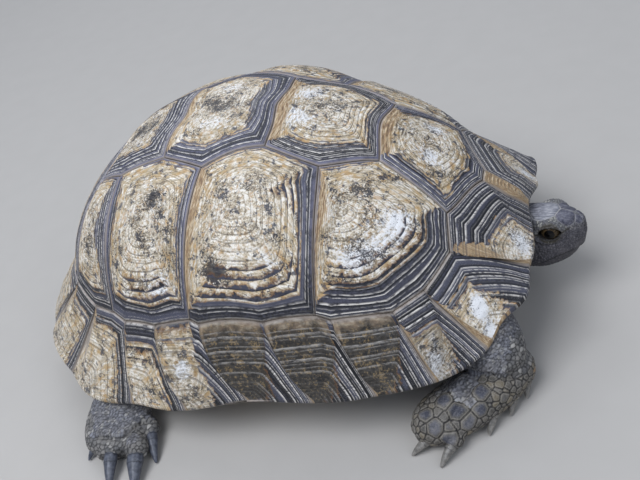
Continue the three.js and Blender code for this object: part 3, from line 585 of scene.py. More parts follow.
def round_plate(name, side):
    """A plate closed round its first plate: points, faces and marks.

    Each ring is the outline drawn in towards the first plate, its corners rounding as it goes.
    """
    spec = dict(zip(ROUND_FIELDS, ROUND_PLATES[name]))
    corners = spec["corners"].split()
    beside = name.startswith("costal")
    edge = seam_line(corners if beside else [*corners, *[f"-{c}" for c in reversed(corners)]], closed=True)
    middle = edge.mean(axis=0)
    outward = middle / (np.linalg.norm(middle) + 1e-9) if beside else np.array([0.0, 0.0])
    first = middle + np.array([spec["first"][0], 0]) + outward * spec["first"][1]
    spokes = edge - first
    sided = np.array([1, side])
    home, home_normal = dome(*(first * sided)), dome_normal(*(first * sided))
    rim = dome(*(edge * sided).T)
    inside = dome(*((first + 0.97 * spokes) * sided).T)
    front, outer = edge_facing(rim, inside, dome_normal(*(edge * sided).T), beside)
    crowding = RING_CROWDING + rolling_mean(OUTER_SPREAD * ramp(outer), 3, closed=True) * beside
    rings = spec["rings"]
    base_count = np.arange(0, rings * DRAWN, 1 / ROWS_PER_RING)[:, None]
    depth = (base_count / rings) ** (1 / crowding)
    rounded = rolling_mean(spokes, len(edge) // ROUND_SOFT["span"], closed=True)
    mix = ROUND_SOFT["most"] * smooth((depth - ROUND_SOFT["from"]) / ROUND_SOFT["over"])[..., None]
    place = first + ((1 - mix) * spokes + mix * rounded) * (1 - depth)[..., None]
    p, q = place[..., 0], place[..., 1] * side
    ground = dome(p, q)
    length = np.linalg.norm(rim - home, axis=-1)
    wave = ROUND_WAVE[0] * ripple(ground, ROUND_WAVE[1], seed=len(name))
    count = np.maximum(base_count + wave * smooth(base_count / 2), 0)
    wear = smooth((depth - ROUND_WORN[0]) / ROUND_WORN[1])
    height = ring_heights(depth, count, wear, depth * length)
    points = ground + height[..., None] * dome_normal(p, q)

    dark = np.maximum.reduce([width * ramp(facing) for width, facing in
                              zip(spec["dark"], (front, outer, -outer))])
    dark = rolling_mean(dark, 2, closed=True)
    tan = rolling_mean(spec["tan"] * ramp(-front), 2, closed=True)
    band = rolling_mean(spec["bands"] * ramp(outer) * (1 - ramp(-front)), 4, closed=True)
    ends = [zone_count(width, length, rings, crowding) for width in (dark, tan, band)]
    marks = plate_marks(count, (*ends, 0.0, length / rings, depth * length), wear,
                        patch_strength(p, q), name, streak_place(rim, closed=True))

    rows, columns = count.shape
    total = rows * columns
    peak = home + (SEAM_FLOOR + BEVEL[0] + SWELL) * home_normal
    points = np.concatenate([points.reshape(-1, 3), [peak, home - CAP_DEPTH * home_normal]])
    faces = [
        grid_faces(rows, columns, closed=True),
        fan_faces(np.arange(total - columns, total), total),
        fan_faces(np.arange(columns)[::-1], total + 1),
    ]
    marks = {label: np.concatenate([m.reshape(-1, 4), m[-1, :1], m[0, :1]]) for label, m in marks.items()}
    return points, faces if side > 0 else turned_over(faces), marks


def edge_facing(edge, inside, normal, beside):
    """How far each point of an outline faces forward, and how far it faces outward, as cosines."""
    across = unit(np.cross(np.roll(edge, -1, axis=0) - np.roll(edge, 1, axis=0), normal))
    across *= np.sign(np.sum(across * (edge - inside), axis=-1, keepdims=True))
    if beside:
        radial = unit(edge * [1, 1, 0])
        down = unit(radial - normal * np.sum(radial * normal, axis=-1, keepdims=True))
        return across[:, 0], np.sum(across * down, axis=-1)
    return across[:, 0], np.abs(across[:, 1])


def rim_plate(name, side):
    """A plate of the rim: rings drawn towards a place on the edge, then the horn wrapped under."""
    spec = dict(zip(RIM_FIELDS, RIM_PLATES[name]))
    names = spec["path"].split()
    path = seam_line(names, closed=False)
    angle = np.unwrap(np.arctan2(path[:, 1], path[:, 0]))
    radius = np.hypot(path[:, 0], path[:, 1])
    first = np.array([angle[0] + (angle[-1] - angle[0]) * spec["first"], 1.0])
    spokes = np.column_stack([angle, radius]) - first
    seam = dome(radius * np.cos(angle), radius * np.sin(angle) * side)
    near = first + 0.97 * spokes
    inside = dome(near[:, 1] * np.cos(near[:, 0]), near[:, 1] * np.sin(near[:, 0]) * side)
    front, inner = rim_facing(angle, radius, seam, inside, side)
    rings = spec["rings"]
    base_count = np.arange(0, rings * DRAWN, 1 / ROWS_PER_RING)[:, None]
    depths = [(base_count / rings) ** (1 / crowd) for crowd in spec["crowd"]]
    rounded = rolling_mean(spokes, len(path) // RIM_SOFT["span"], closed=False)
    rounded[[0, -1]] = spokes[[0, -1]]
    mix = RIM_SOFT["most"] * smooth((base_count / rings - RIM_SOFT["from"]) / RIM_SOFT["over"])[..., None]
    place = first + ((1 - mix) * spokes + mix * rounded) * (1 - np.stack(depths, axis=-1))
    place[:, [0, -1], 1] = 1.0
    p = place[..., 1] * np.cos(place[..., 0])
    q = place[..., 1] * np.sin(place[..., 0]) * side
    ground = dome(p, q)
    c, s = math.cos(first[0]), math.sin(first[0]) * side
    ends = dome(radius * c, radius * s), dome(np.cos(angle), np.sin(angle) * side)
    lengths = [np.linalg.norm(seam - end, axis=-1) + 0.5 for end in ends]
    turned = rolling_mean(ramp(inner), 1, closed=False)
    depth = depths[0] * (1 - turned) + depths[1] * turned
    length = lengths[0] * (1 - turned) + lengths[1] * turned
    wave = RIM_WAVE[0] * ripple(ground, RIM_WAVE[1], seed=len(name) + 5)
    count = np.maximum(base_count + wave * smooth(base_count / 2), 0)
    wear = smooth((depth - RIM_WORN[0]) / RIM_WORN[1])
    height = ring_heights(depth, count, wear, depth * length)
    calm = 1 - RIM_CALM[0] * smooth((place[..., 1] - RIM_CALM[1]) / 0.07)
    points = ground + (height * calm)[..., None] * dome_normal(p, q)

    rimward = (radius - radius.min()) / (1 - radius.min())
    wedge = spec["wedge"] + (1 - spec["wedge"]) * rimward
    corner = dome(*(corner_place(names[-2]) * [1, side]))
    clear = 1 - smooth(np.linalg.norm(seam - corner, axis=-1) / spec.get("clear", 0.1) - 0.35)
    clear = clear * ramp(inner)
    dark = np.maximum(spec["dark"][0] * wedge * ramp(front), spec["dark"][1] * ramp(inner) * (1 - clear))
    dark = np.where(dark > 0.05, dark, NO_ZONE)
    tan = np.maximum(*[zone_count(width * ramp(facing), along, rings, crowd) for width, facing, along, crowd
                       in zip(spec["tan"], (-front, inner), lengths, spec["crowd"])])
    tan = np.maximum(tan, np.where(clear > 0.1, 0.7 * rings * clear, NO_ZONE))
    band = zone_count(spec["bands"] * ramp(inner), lengths[1], rings, spec["crowd"][1])
    if spec["tan"][0] > ALL_TAN:
        tan = tan * 0 + 2 * rings
    ends = [rolling_mean(zone, 1, closed=False) for zone in (dark, tan, band)]
    marks = plate_marks(count, (*ends, spec["olive"], length / rings, depth * length), wear,
                        patch_strength(p, q), name, streak_place(seam, closed=False))

    # The rim is wrapped under, from the front end of its edge over the first plate to the rear end.
    rows, columns = count.shape
    total = rows * columns
    starts = np.arange(rows) * columns
    peak = dome(c, s) + (SEAM_FLOOR + BEVEL[0] + SWELL) * RIM_PEAK * dome_normal(c, s)
    rim_ids = np.concatenate([starts, [total], (starts + columns - 1)[::-1]])
    rim_angle = np.concatenate([place[:, 0, 0], [first[0]], place[::-1, -1, 0]])
    bare = dome(np.cos(rim_angle), np.sin(rim_angle) * side)
    wrap = [np.column_stack([SHELL_MIDDLE + (bare[:, :2] - SHELL_MIDDLE) * reach, bare[:, 2] + drop])
            for reach, drop in RIM_WRAP]
    points = np.concatenate([points.reshape(-1, 3), [peak], *wrap])
    width = len(rim_ids)
    ids = np.concatenate([rim_ids[None], total + 1 + np.arange(len(RIM_WRAP) * width).reshape(-1, width)])
    skirt = np.stack([ids[:-1, :-1], ids[1:, :-1], ids[1:, 1:], ids[:-1, 1:]], axis=-1).reshape(-1, 4)
    cap = np.arange(total - columns, total)
    faces = [grid_faces(rows, columns), skirt[:, ::-1],
             np.stack([cap[:-1], cap[1:], np.full(columns - 1, total)], axis=-1),
             *rim_plate_back(columns, ids)]
    for label, m in marks.items():
        with_peak = np.concatenate([m.reshape(-1, 4), m[-1, :1]])
        marks[label] = np.concatenate([with_peak, np.tile(with_peak[rim_ids], (len(RIM_WRAP), 1))])
    return points, turned_over(faces) if side * (angle[-1] - angle[0]) > 0 else faces, marks


def rim_plate_back(columns, ids):
    """The hidden back: straight strips from the front seam to the rear seam, closed at both ends."""
    top = np.arange(columns)
    half = columns // 2
    loop = np.concatenate([top[half:0:-1], ids[:, 0], ids[-1, 1:-1], ids[::-1, -1], top[-2:half:-1]])
    left = np.arange(len(loop) // 2)
    right = len(loop) - 1 - left
    faces = [np.stack([loop[left[:-1]], loop[left[1:]], loop[right[1:]], loop[right[:-1]]], axis=-1)]
    if len(loop) % 2:
        faces.append(np.array([[loop[left[-1]], loop[len(loop) // 2], loop[right[-1]]]]))
    return faces


def rim_facing(angle, radius, edge, inside, side):
    """How far each point of a rim plate's outline faces the front along the rim, and inwards."""
    normal = dome_normal(radius * np.cos(angle), radius * np.sin(angle) * side)
    across = unit(np.cross(np.gradient(edge, axis=0), normal), 1e-9)
    step = edge - inside
    step[[0, -1]] = step[[1, -2]]
    across *= np.sign(np.sum(across * step, axis=-1, keepdims=True))
    forward = dome(radius * np.cos(angle - 0.01), radius * np.sin(angle - 0.01) * side) - edge
    inward = dome((radius - 0.01) * np.cos(angle), (radius - 0.01) * np.sin(angle) * side) - edge
    return [np.sum(across * unit(way), axis=-1) for way in (forward, inward)]


def join_plates(parts):
    """Several plates as one mesh."""
    points = np.concatenate([part[0] for part in parts])
    starts = np.cumsum([0, *[len(part[0]) for part in parts]])
    faces = [f + start for (_, part_faces, _), start in zip(parts, starts) for f in part_faces]
    marks = {label: np.concatenate([part[2][label] for part in parts]) for label in parts[0][2]}
    return points, faces, marks


def weighted(tree, base, *terms):
    """A base plus signals times weights. A term's third number is first taken from its signal."""
    for signal, weight, *middle in terms:
        if middle:
            signal = node(tree, "Math", [signal, *middle], operation="SUBTRACT")[0]
        base = node(tree, "Math", [signal, weight, base], operation="MULTIPLY_ADD")[0]
    return base


def horn_signals(tree):
    """By name, what the horn's colours come from: the plates' marks, noise, and lines of the rings."""
    where = node(tree, "TexCoord")["Object"]
    growth, age, streak = [node(tree, "Attribute", attribute_name=name)
                           for name in ("growth", "age", "streak")]
    v = {"olive": growth["Alpha"], "own": age["Alpha"], "deep": streak["Alpha"]}
    v["ring"], v["dark_end"], v["tan_end"] = node(tree, "SeparateColor", [growth["Color"]])
    v["wear"], v["band_end"], v["patch"] = node(tree, "SeparateColor", [age["Color"]])
    along_x, along_y, wide = node(tree, "SeparateColor", [streak["Color"]])
    v["high"] = node(tree, "SeparateXYZ", [where])[2]

    # Noise in space, whose blobs are size metres across, then veins and fibres along the rings.
    layer = weighted(tree, v["ring"], (v["own"], 37.0))
    fine = mask(tree, layer, (wide, 1.0, 4.5, 1.1, 3.2))
    vein_flow, fibre_flow = [node(tree, "CombineXYZ", [along_x, along_y, rings])[0]
                             for rings in (layer, fine)]
    for name, place, size, detail, rough in (
            ("blotch", where, 0.0085, 2.0, 0.5), ("mottle", where, 0.0034, 3.0, 0.5),
            ("spots", where, 0.0027, 1.0, 0.5), ("fleck", where, 0.00115, 3.0, 0.75),
            ("speck", where, 0.00062, 2.0, 0.65), ("vein", vein_flow, 1.0, 3.0, 0.6),
            ("fibre", fibre_flow, 0.8, 4.0, 0.65)):
        v[name] = node(tree, "TexNoise", {"Vector": place, "Scale": 1 / size, "Detail": detail,
                                          "Roughness": rough})[0]

    # A strong line where each ring begins, and in wide rings some fainter ones at its thirds.
    v["part"] = node(tree, "Math", [v["ring"]], operation="FRACT")[0]
    third = node(tree, "Math", [v["ring"], 3.0], operation="MULTIPLY")[0]
    in_wide = mask(tree, (wide, 1.0, 2.4, 0.45, 1.0))
    lines = []
    for place, sharp, odds, full in ((v["ring"], (0.08, 0.25), (0.0, 0.5, 0.45, 1.0), 1.0),
                                     (third, (0.1, 0.42), (0.35, 0.85, 0.0, 0.95), in_wide)):
        number = node(tree, "Math", [place], operation="FLOOR")[0]
        since = node(tree, "Math", [place], operation="FRACT")[0]
        seed = node(tree, "CombineXYZ", [number, v["own"]])[0]
        chance = node(tree, "TexWhiteNoise", {"Vector": seed})[0]
        lines.append(mask(tree, (since, *sharp, 1.0, 0.0), mask(tree, (chance, *odds), full)))
    both = node(tree, "Math", lines, operation="MAXIMUM")[0]
    v["line"] = mask(tree, both, (v["fibre"], 0.34, 0.5))
    v["groove"] = mask(tree, (v["part"], 0.6, 0.9))
    year = node(tree, "Math", [v["ring"], 1.6], operation="MULTIPLY")[0]
    year = node(tree, "Math", [year], operation="FLOOR")[0]
    seed = node(tree, "CombineXYZ", [year, v["own"], 3.0])[0]
    v["tone"] = node(tree, "TexWhiteNoise", {"Vector": seed})[0]

    # Zones end raggedly along the rings, because their edges wander with the veins.
    stray = weighted(tree, v["ring"], (v["vein"], 3.0), (v["fleck"], 0.8))
    stray = node(tree, "Math", [stray, 1.9], operation="SUBTRACT")[0]
    for name, first, last in (("dark", -1.3, 0.5), ("tan", -0.5, 0.5), ("band", -0.5, 5.5)):
        left = node(tree, "Math", [v[name + "_end"], stray], operation="SUBTRACT")[0]
        v[name] = mask(tree, (left, first, last))
    return v


def straw_horn(tree, v):
    """Straw horn: fibres of cream and brown, worn in the middle to a speckle, with ochre and grey stains, and
    painted highlights where the sky's glare lies.
    """
    worn = mask(tree, (v["wear"], 0.0, 1.0, 0.2, 0.75))
    grain = node(tree, "Mix", {0: worn, 2: v["fibre"], 3: v["fleck"]})[0]
    grain = weighted(tree, grain, (v["mottle"], 0.3, 0.45), (v["blotch"], 0.2, 0.5))
    straw = node(tree, "ValToRGB", [grain], [(0.33, "#4A4340"), (0.42, "#978872"), (0.5, "#D2C4A9"),
                                             (0.58, "#F8F2E6")])[0]
    young = mask(tree, (v["wear"], 0.0, 0.7, 0.75, 0.1), (v["vein"], 0.4, 0.6))
    ochre = weighted(tree, v["vein"], (v["mottle"], 0.5))
    grey = weighted(tree, v["spots"], (v["speck"], 0.6), (v["blotch"], -0.4))
    # Painted highlight: pale patches of sky glare where the patch strength is above 0.
    painted_glare = weighted(tree, v["patch"], (v["fleck"], 1.2, 0.5), (v["fibre"], 1.2, 0.5))
    black = node(tree, "Math", [mask(tree, v["patch"], -1.0), 0.0], operation="MAXIMUM")[0]
    pits = weighted(tree, v["speck"], (black, 0.3), (v["blotch"], -0.8))
    return layered(tree, straw, (young, "#CFB68A"), ((ochre, 0.78, 0.92, 0.0, 0.6), "#B98C48"),
                   (mask(tree, v["line"], 0.75), "#51432F"), ((grey, 0.7, 0.79, 0.0, 0.85), "#3B3F4B"),
                   ((painted_glare, 0.28, 0.68), "#F4F4F3"), ((pits, 0.22, 0.32, 0.0, 0.9), "#2F2D30"))


def horn_colour(tree, v):
    """Zones of a plate laid over each other: straw, olive stain, tan, bars, black with a painted sky sheen
    and painted shade in its grooves, and the seam.
    """
    mixed = weighted(tree, mask(tree, v["fleck"], 0.5), (v["vein"], 0.5))
    stained = node(tree, "ValToRGB", [mixed], [(0.4, "#0E0E12"), (0.54, "#201E1D"), (0.66, "#4E4638")])[0]
    gold = weighted(tree, v["fleck"], (v["mottle"], 0.6))
    stained = layered(tree, stained, ((gold, 0.84, 0.98, 0.0, 0.62), "#9E8456"))
    stain = weighted(tree, v["olive"], (v["fibre"], -0.7))
    tan = node(tree, "ValToRGB", [v["fibre"]], [(0.34, "#7B614A"), (0.48, "#AE9069"), (0.6, "#D8C3A0")])[0]
    greyed = mask(tree, v["olive"], (v["high"], 0.03, 0.042, 0.1, 0.6))
    tan = layered(tree, tan, (mask(tree, v["line"], 0.8), "#54453A"), (greyed, "#6B645C"))

    # Each ring is black for a share of its width, more of it the nearer it lies to the seam.
    share = weighted(tree, -0.95, (v["vein"], 2.2))
    share = node(tree, "Math", [share, mask(tree, v["band"], 0.42)], operation="ADD")[0]
    share = weighted(tree, mask(tree, share, (v["band"], 0.02, 0.2)), (v["dark"], 1.5))
    share = node(tree, "Math", [share, 0.25], operation="SUBTRACT")[0]
    share = weighted(tree, share, (v["fleck"], 0.5))
    spare = node(tree, "Math", [share, v["part"]], operation="SUBTRACT")[0]
    brown = mask(tree, (spare, -0.3, 0.0), (share, 0.1, 0.3, 0.0, 0.7))
    # Painted sky reflection: the black horn is tinted blue-grey, and high on the dome (raised) it is painted
    # lighter and bluer still, partly dust and partly a painted sheen of the sky.
    raised = mask(tree, (weighted(tree, v["high"], (v["mottle"], 0.04)), 0.07, 0.115))
    dust = weighted(tree, v["fleck"], (v["tone"], 0.6, 0.5))
    deep = node(tree, "ValToRGB", [dust], [(0.35, "#0E0E14"), (0.68, "#4A4B58")])[0]
    dust_and_sky_sheen = node(tree, "ValToRGB", [dust], [(0.36, "#11121B"), (0.74, "#626376")])[0]
    powder_and_sky_sheen = mask(tree, raised, (v["deep"], 0.6, 3.4, 0.7, 0.0), (v["mottle"], 0.3, 0.55, 0.3, 1.0))
    dust_and_sky_sheen = layered(tree, dust_and_sky_sheen, (powder_and_sky_sheen, "#85849A"))
    # The grooves between the rings are painted near black: painted shade in the grooves.
    black = layered(tree, deep, (mask(tree, raised, v["dark"]), dust_and_sky_sheen),
                    (mask(tree, v["groove"], 0.85), "#0C0C12"))

    # Pale lines of the rings in the black and the olive zones.
    on_olive = mask(tree, v["olive"], (v["wear"], 0.0, 0.9, 0.42, 0.1))
    near_black = node(tree, "Math", [v["dark"], on_olive], operation="MAXIMUM")[0]
    pale_horn = node(tree, "ValToRGB", [v["fibre"]], [(0.36, "#A09A95"), (0.56, "#F0EAE0")])[0]
    return layered(tree, straw_horn(tree, v), ((stain, -0.05, 0.35, 0.0, 0.95), stained), (v["tan"], tan),
                   (brown, "#75502F"), ((spare, 0.0, 0.16), black),
                   (mask(tree, v["line"], near_black), pale_horn),
                   ((v["deep"], 0.4, 1.0, 0.85, 0.0), "#A0958B"))


def horn_material():
    """Tortoise horn: keratin grown in rings, satin where new and polished where the middle is worn."""
    material, tree, shader = new_finish("ringed tortoise horn", roughness=0.5, ior=1.54)
    v = horn_signals(tree)
    rough = weighted(tree, mask(tree, (v["fleck"], 0.3, 0.7, 0.42, 0.66)), (v["wear"], -0.14))
    tree.links.new(rough, shader.inputs["Roughness"])
    relief = weighted(tree, v["fleck"], (v["speck"], 0.5), (v["fibre"], 0.8), (v["groove"], -0.8))
    surface(tree, shader, horn_colour(tree, v), relief, strength=0.6)
    return material


def add_plates():
    """The plates in joined pieces: middle, ends, and the left and right sides."""
    horn = horn_material()
    costals = [name for name in ROUND_PLATES if name.startswith("costal")]
    marginals = [name for name in RIM_PLATES if name.startswith("marginal")]
    groups = {"vertebral_plates": [round_plate(name, 1) for name in ROUND_PLATES if name not in costals],
              "end_plates": [rim_plate(name, 1) for name in RIM_PLATES if name not in marginals]}
    for label, side in (("left", 1), ("right", -1)):
        groups[f"costal_plates_{label}"] = [round_plate(name, side) for name in costals]
        groups[f"marginal_plates_{label}"] = [rim_plate(name, side) for name in marginals]
    for name, parts in groups.items():
        points, faces, marks = join_plates(parts)
        piece = add_piece(name, points, faces, horn, marks)
        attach(piece, "root")
        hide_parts("carapace")


add_plates()


# ---------------------------------------------------------------- belly shield
# Six pairs of flat horn plates fused to one slab of bone. The slab lies on the floor, turns up a
# little at both ends, and rises at the sides into the bridges that carry the upper shell.
BELLY = {"thickness": 5, "bridge_foot": 50, "bridge_span": 26, "bridge_rise": 24.5, "gular_foot": 48,
         "gular_rise": 12, "anal_foot": -64, "anal_rise": 6, "end_span": 46}
# Cross seams from front to rear: place along the body and half width there.
BELLY_SEAMS = [(92, 15), (68, 36), (44, 46), (22, 76), (-50, 76), (-80, 42), (-112, 16)]
BELLY_RINGS = 11
BELLY_ROWS_PER_RING = 4
BELLY_SPACING = 1.6
BELLY_GROOVE = (0.8, 0.6)       # depth of a seam, and the distance in which it runs out
BELLY_RING_DEPTH = 0.16
BELLY_CROWDING = 0.8
BELLY_DRAWN = 0.98              # share of the way to the first plate that the rings take
BELLY_FIRST = (0.36, 0.58)      # where the first plate lies: from the rear seam, and from the middle
BELLY_WAVE = (0.2, 30)          # waves of the rings: height in rings, and length


def belly_height(x, y):
    """Underside of the belly shield: flat, turned up at the bridges and at both ends."""
    bridge = BELLY["bridge_rise"] * smooth((np.abs(y) - BELLY["bridge_foot"]) / BELLY["bridge_span"])
    front = BELLY["gular_rise"] * np.clip((x - BELLY["gular_foot"]) / BELLY["end_span"], 0, 1) ** 1.7
    rear = BELLY["anal_rise"] * np.clip((BELLY["anal_foot"] - x) / BELLY["end_span"], 0, 1) ** 1.7
    return np.maximum.reduce([bridge, front, rear])


def belly_plate(front, rear, side):
    """One plate: rings on the underside drawn towards its first plate, then a wall and a flat back."""
    corners = np.array([(front[0], 0), (front[0], side * front[1]),
                        (rear[0], side * rear[1]), (rear[0], 0)], float)
    parts = []
    for a, b in zip(corners, np.roll(corners, -1, axis=0)):
        steps = max(2, math.ceil(np.linalg.norm(b - a) / BELLY_SPACING))
        parts.append(a + (b - a) * (np.arange(steps) / steps)[:, None])
    edge = np.concatenate(parts)
    first = np.array([rear[0] + BELLY_FIRST[0] * (front[0] - rear[0]),
                      side * BELLY_FIRST[1] * min(front[1] + rear[1], 100) / 2])
    base = np.arange(0, BELLY_RINGS * BELLY_DRAWN, 1 / BELLY_ROWS_PER_RING)[:, None]
    depth = (base / BELLY_RINGS) ** (1 / BELLY_CROWDING)
    flat = first + (edge - first) * (1 - depth)[..., None]
    x, y = flat[..., 0], flat[..., 1]
    length = np.linalg.norm(edge - first, axis=-1)
    wave = BELLY_WAVE[0] * ripple(np.dstack([x, y, 0 * x]), BELLY_WAVE[1], seed=4)
    count = np.maximum(0, base + wave * smooth(base / 2))
    groove = BELLY_GROOVE[0] * np.exp(-depth * length / BELLY_GROOVE[1])
    rise = groove + BELLY_RING_DEPTH * np.abs(2 * (count % 1) - 1) ** RING_SHARPNESS
    wear = smooth((depth - ROUND_WORN[0]) / ROUND_WORN[1]) * np.ones(len(edge))
    points = np.dstack([x, y, belly_height(x, y) + rise])
    rows, columns = count.shape
    total = rows * columns
    back = np.column_stack([edge, belly_height(*edge.T) + BELLY["thickness"]])
    centre = [*first, belly_height(*first)]
    over = [*first, belly_height(*first) + BELLY["thickness"]]
    points = np.concatenate([points.reshape(-1, 3), back, [centre, over]])
    outer = np.arange(columns)
    wall = np.stack([outer, np.roll(outer, -1), np.roll(outer, -1) + total, outer + total], axis=-1)
    faces = [grid_faces(rows, columns, closed=True),
             fan_faces(np.arange(total - columns, total), total + columns),
             wall[:, ::-1], fan_faces((outer + total)[::-1], total + columns + 1)]
    inner = ramp(1 - np.abs(edge[:, 1]) / 6)
    dark = 7 * (1 - inner) * (np.abs(edge[:, 0] - front[0]) < 9)
    dark = rolling_mean(zone_count(dark, length, BELLY_RINGS, BELLY_CROWDING), 2, closed=True)
    marks = plate_marks(count, (dark, NO_ZONE, 5.0, 0.1, 3.0, depth * length), wear, 0.0,
                        f"belly{front[0]}", streak_place(edge, closed=True))
    marks = {label: np.concatenate([m.reshape(-1, 4), m[8], m[-1, :1], m[8, :1]])
             for label, m in marks.items()}
    return points, turned_over(faces) if side > 0 else faces, marks


def add_belly():
    """The twelve plates as one piece, in the horn of the upper shell."""
    pairs = list(zip(BELLY_SEAMS, BELLY_SEAMS[1:]))
    points, faces, marks = join_plates([belly_plate(a, b, side) for side in (1, -1) for a, b in pairs])
    piece = add_piece("belly_plates", points, faces, bpy.data.materials["ringed tortoise horn"], marks)
    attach(piece, "root")
    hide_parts("plastron")


add_belly()


# ---------------------------------------------------------------- skin of the neck, limbs and tail
# One leathery skin over the flesh, in a front and a rear piece that meet inside the shell. Low
# horny scales stand on it: large overlapping ones on the forelegs, small grains elsewhere.
LEFT_DRAWN_IN = 7                 # how much further back the left foreleg rests
# Stations of the neck and of the right limbs: x, y, z, half width and half height.
NECK = [[74, 0, 27, 14, 13], [86, 0, 28.5, 13, 12.5], [96, 0.2, 31, 11.5, 10.8], [104, 0.3, 33, 9, 8.6]]
UPPER_ARM = [[64, -26, 29, 12, 11], [78, -39, 27, 15, 13], [90, -50, 23, 15, 13], [97, -58, 19, 12, 10],
             [101, -63, 16, 7, 6]]
FOREARM = [[103, -48, 11, 4.4, 4.4], [101, -54, 10.4, 9.6, 9.6], [91.5, -64.5, 9.6, 12, 9.8],
           [81, -74, 8.6, 12.4, 9.2], [72, -80.8, 7.6, 11.2, 8.2], [66.5, -84.8, 6.6, 8.2, 6.8],
           [63, -87, 5.8, 3.4, 3.4]]
THIGH = [[-48, -36, 27, 13, 13], [-58, -48, 25, 15, 13], [-66, -58, 21, 14, 11], [-71, -65, 16, 11, 8]]
HIND_FOOT = [[-71.5, -60, 17, 9, 8], [-75.5, -68, 12.5, 13.5, 8.5], [-77, -77, 9.4, 15.4, 8],
             [-76, -86, 7.4, 16, 7.4], [-72.5, -94, 5.8, 15, 6.6], [-70.5, -100.5, 5, 9.6, 4.6]]
SPUR = [[-72, -57, 18, 3.2, 3.2], [-76, -56.2, 17.6, 3, 2.8], [-80, -55.3, 16.6, 2.2, 2],
        [-83.5, -54.5, 15, 0.8, 0.8]]
TAIL = [[-84, 0, 23, 12, 10], [-100, 1, 21, 10, 8.6], [-111, 4, 16, 7.4, 6.6], [-120, 8, 10.5, 4.8, 4.6],
        [-126, 12, 6.6, 2.6, 2.6], [-128.5, 13.6, 5.4, 1.2, 1.2]]
CHEST = [[20, 0, 27, 40, 17], [44, 0, 27, 58, 19], [70, 0, 28, 44, 15], [86, 0, 30, 20, 9]]
RUMP = [[-104, 0, 25, 14, 6], [-94, 0, 26, 40, 12], [-62, 0, 27, 58, 18], [-40, 0, 27, 50, 18]]
# Points along and round each kind of tube, and where it matters the squareness of its sections.
TUBE_GRIDS = {"trunk": (24, 60, 3), "neck": (24, 48), "tail": (40, 32), "upper": (30, 40),
              "lower": (40, 40), "foot": (40, 40, 2.5), "spur": (12, 16), "toe": (9, 14)}
# Claws of a right foot: root, tip and thickness.
FORE_CLAWS = [((71, -87, 5.6), (61.7, -93.4, 0.8), 2.5), ((80, -88, 5.4), (74, -98.4, 0.8), 2.5),
              ((94, -73, 6.2), (91.6, -83, 0.8), 2.6), ((101.5, -64, 6.6), (99.4, -73.4, 1), 2.6),
              ((106, -56, 7), (105.4, -65, 1.6), 2.2)]
HIND_CLAWS = [((-84, -90.5, 5), (-88, -101.5, 0.9), 2.4), ((-74.5, -96.5, 7.2), (-69.8, -116.5, 1), 3.5),
              ((-61.8, -96.5, 7.2), (-57, -116.5, 1), 4.2), ((-59.5, -86, 6.4), (-52.6, -101.5, 1), 3.1)]
# Large scales of the forearm: place along it, turn round it in degrees, and radius.
FOREARM_SCALES = [(0.415, 59, 4.4), (0.458, 31, 3.6), (0.585, 89, 4.5), (0.559, 55, 4.7), (0.542, 23, 4.2),
                  (0.739, 49, 4.5), (0.739, 87, 4), (0.682, 6, 4.6), (0.649, 32, 3), (0.344, 18, 2.7)]
VOXEL = 0.68                      # grid on which tubes are joined to one skin
EASING = 6                        # rounds of smoothing where they meet
# Deep creases: depth and half width of the groove, then height, place and half width of its bulge.
CREASES = {"elbow": {"deep": 1.9, "narrow": 0.85, "bulge": 0.8, "beside": 2.6, "wide": 2},
           "toes": {"deep": 1.9, "narrow": 0.85, "bulge": 0.8, "beside": -3, "wide": 2},
           "heel": {"deep": 1.3, "narrow": 0.8, "bulge": 0.3, "beside": 2.4, "wide": 1.6}}
SCALE_SPACINGS = (1.6, 2.3, 3.4)  # fine grains, beads, and the cobbles of the forelegs
SCALE_REACH = 7.0                 # how far off the scales that share a border may lie
# Relief of a scale: width of its edge as a share of its size and at most, height of the smallest,
# what is added with size, and how far the borders are sunk.
COBBLE = {"edge": 0.3, "widest": 1.1, "least": 0.1, "rise": 0.07, "sunk": 0.25}


def on_side(stations, side):
    """Stations of a right limb, or their mirror image on the left."""
    moved = np.array(stations, float)
    if side > 0:
        moved[:, 0] -= LEFT_DRAWN_IN * (moved[:, 0] > 0)
        moved[:, 1] *= -1
    return moved


def spline(stations, t):
    """Centripetal Catmull-Rom curve through the stations, for t from 0 to 1."""
    s = np.asarray(stations, float)
    s = np.vstack([2 * s[0] - s[1], s, 2 * s[-1] - s[-2]])
    place = np.clip(t, 0, 1) * (len(s) - 3)
    i = np.minimum(np.floor(place).astype(int), len(s) - 4)
    u = (place - i)[:, None]
    a, b, c, d = s[i], s[i + 1], s[i + 2], s[i + 3]
    spans = [np.sqrt(np.linalg.norm(q - p, axis=1))[:, None] for p, q in ((a, b), (b, c), (c, d))]
    k0, k1, k2 = [np.where(k < 1e-4, 1.0, k) for k in spans]
    m1 = ((b - a) / k0 - (c - a) / (k0 + k1) + (c - b) / k1) * k1
    m2 = ((c - b) / k1 - (d - b) / (k1 + k2) + (d - c) / k2) * k1
    return b + m1 * u + (3 * (c - b) - 2 * m1 - m2) * u ** 2 + (2 * (b - c) + m1 + m2) * u ** 3


def tube_frame(stations, t):
    """Centre, half sizes and the two cross directions of a limb at places t along it."""
    middles, sizes = np.split(np.asarray(stations), [3], axis=1)
    centre, size = spline(middles, t), spline(sizes, t)
    ahead = unit(spline(middles, t + 1e-4) - spline(middles, t - 1e-4))
    wide = unit(np.cross([0, 0, 1.0], ahead))
    return centre, size, wide, np.cross(ahead, wide)


def tube_faces(rows, sides):
    """Faces of a closed tube, whose first and last points follow its grid."""
    total = rows * sides
    return [grid_faces(rows, sides, closed=True), fan_faces(np.arange(sides)[::-1], total),
            fan_faces(np.arange(total - sides, total), total + 1)]


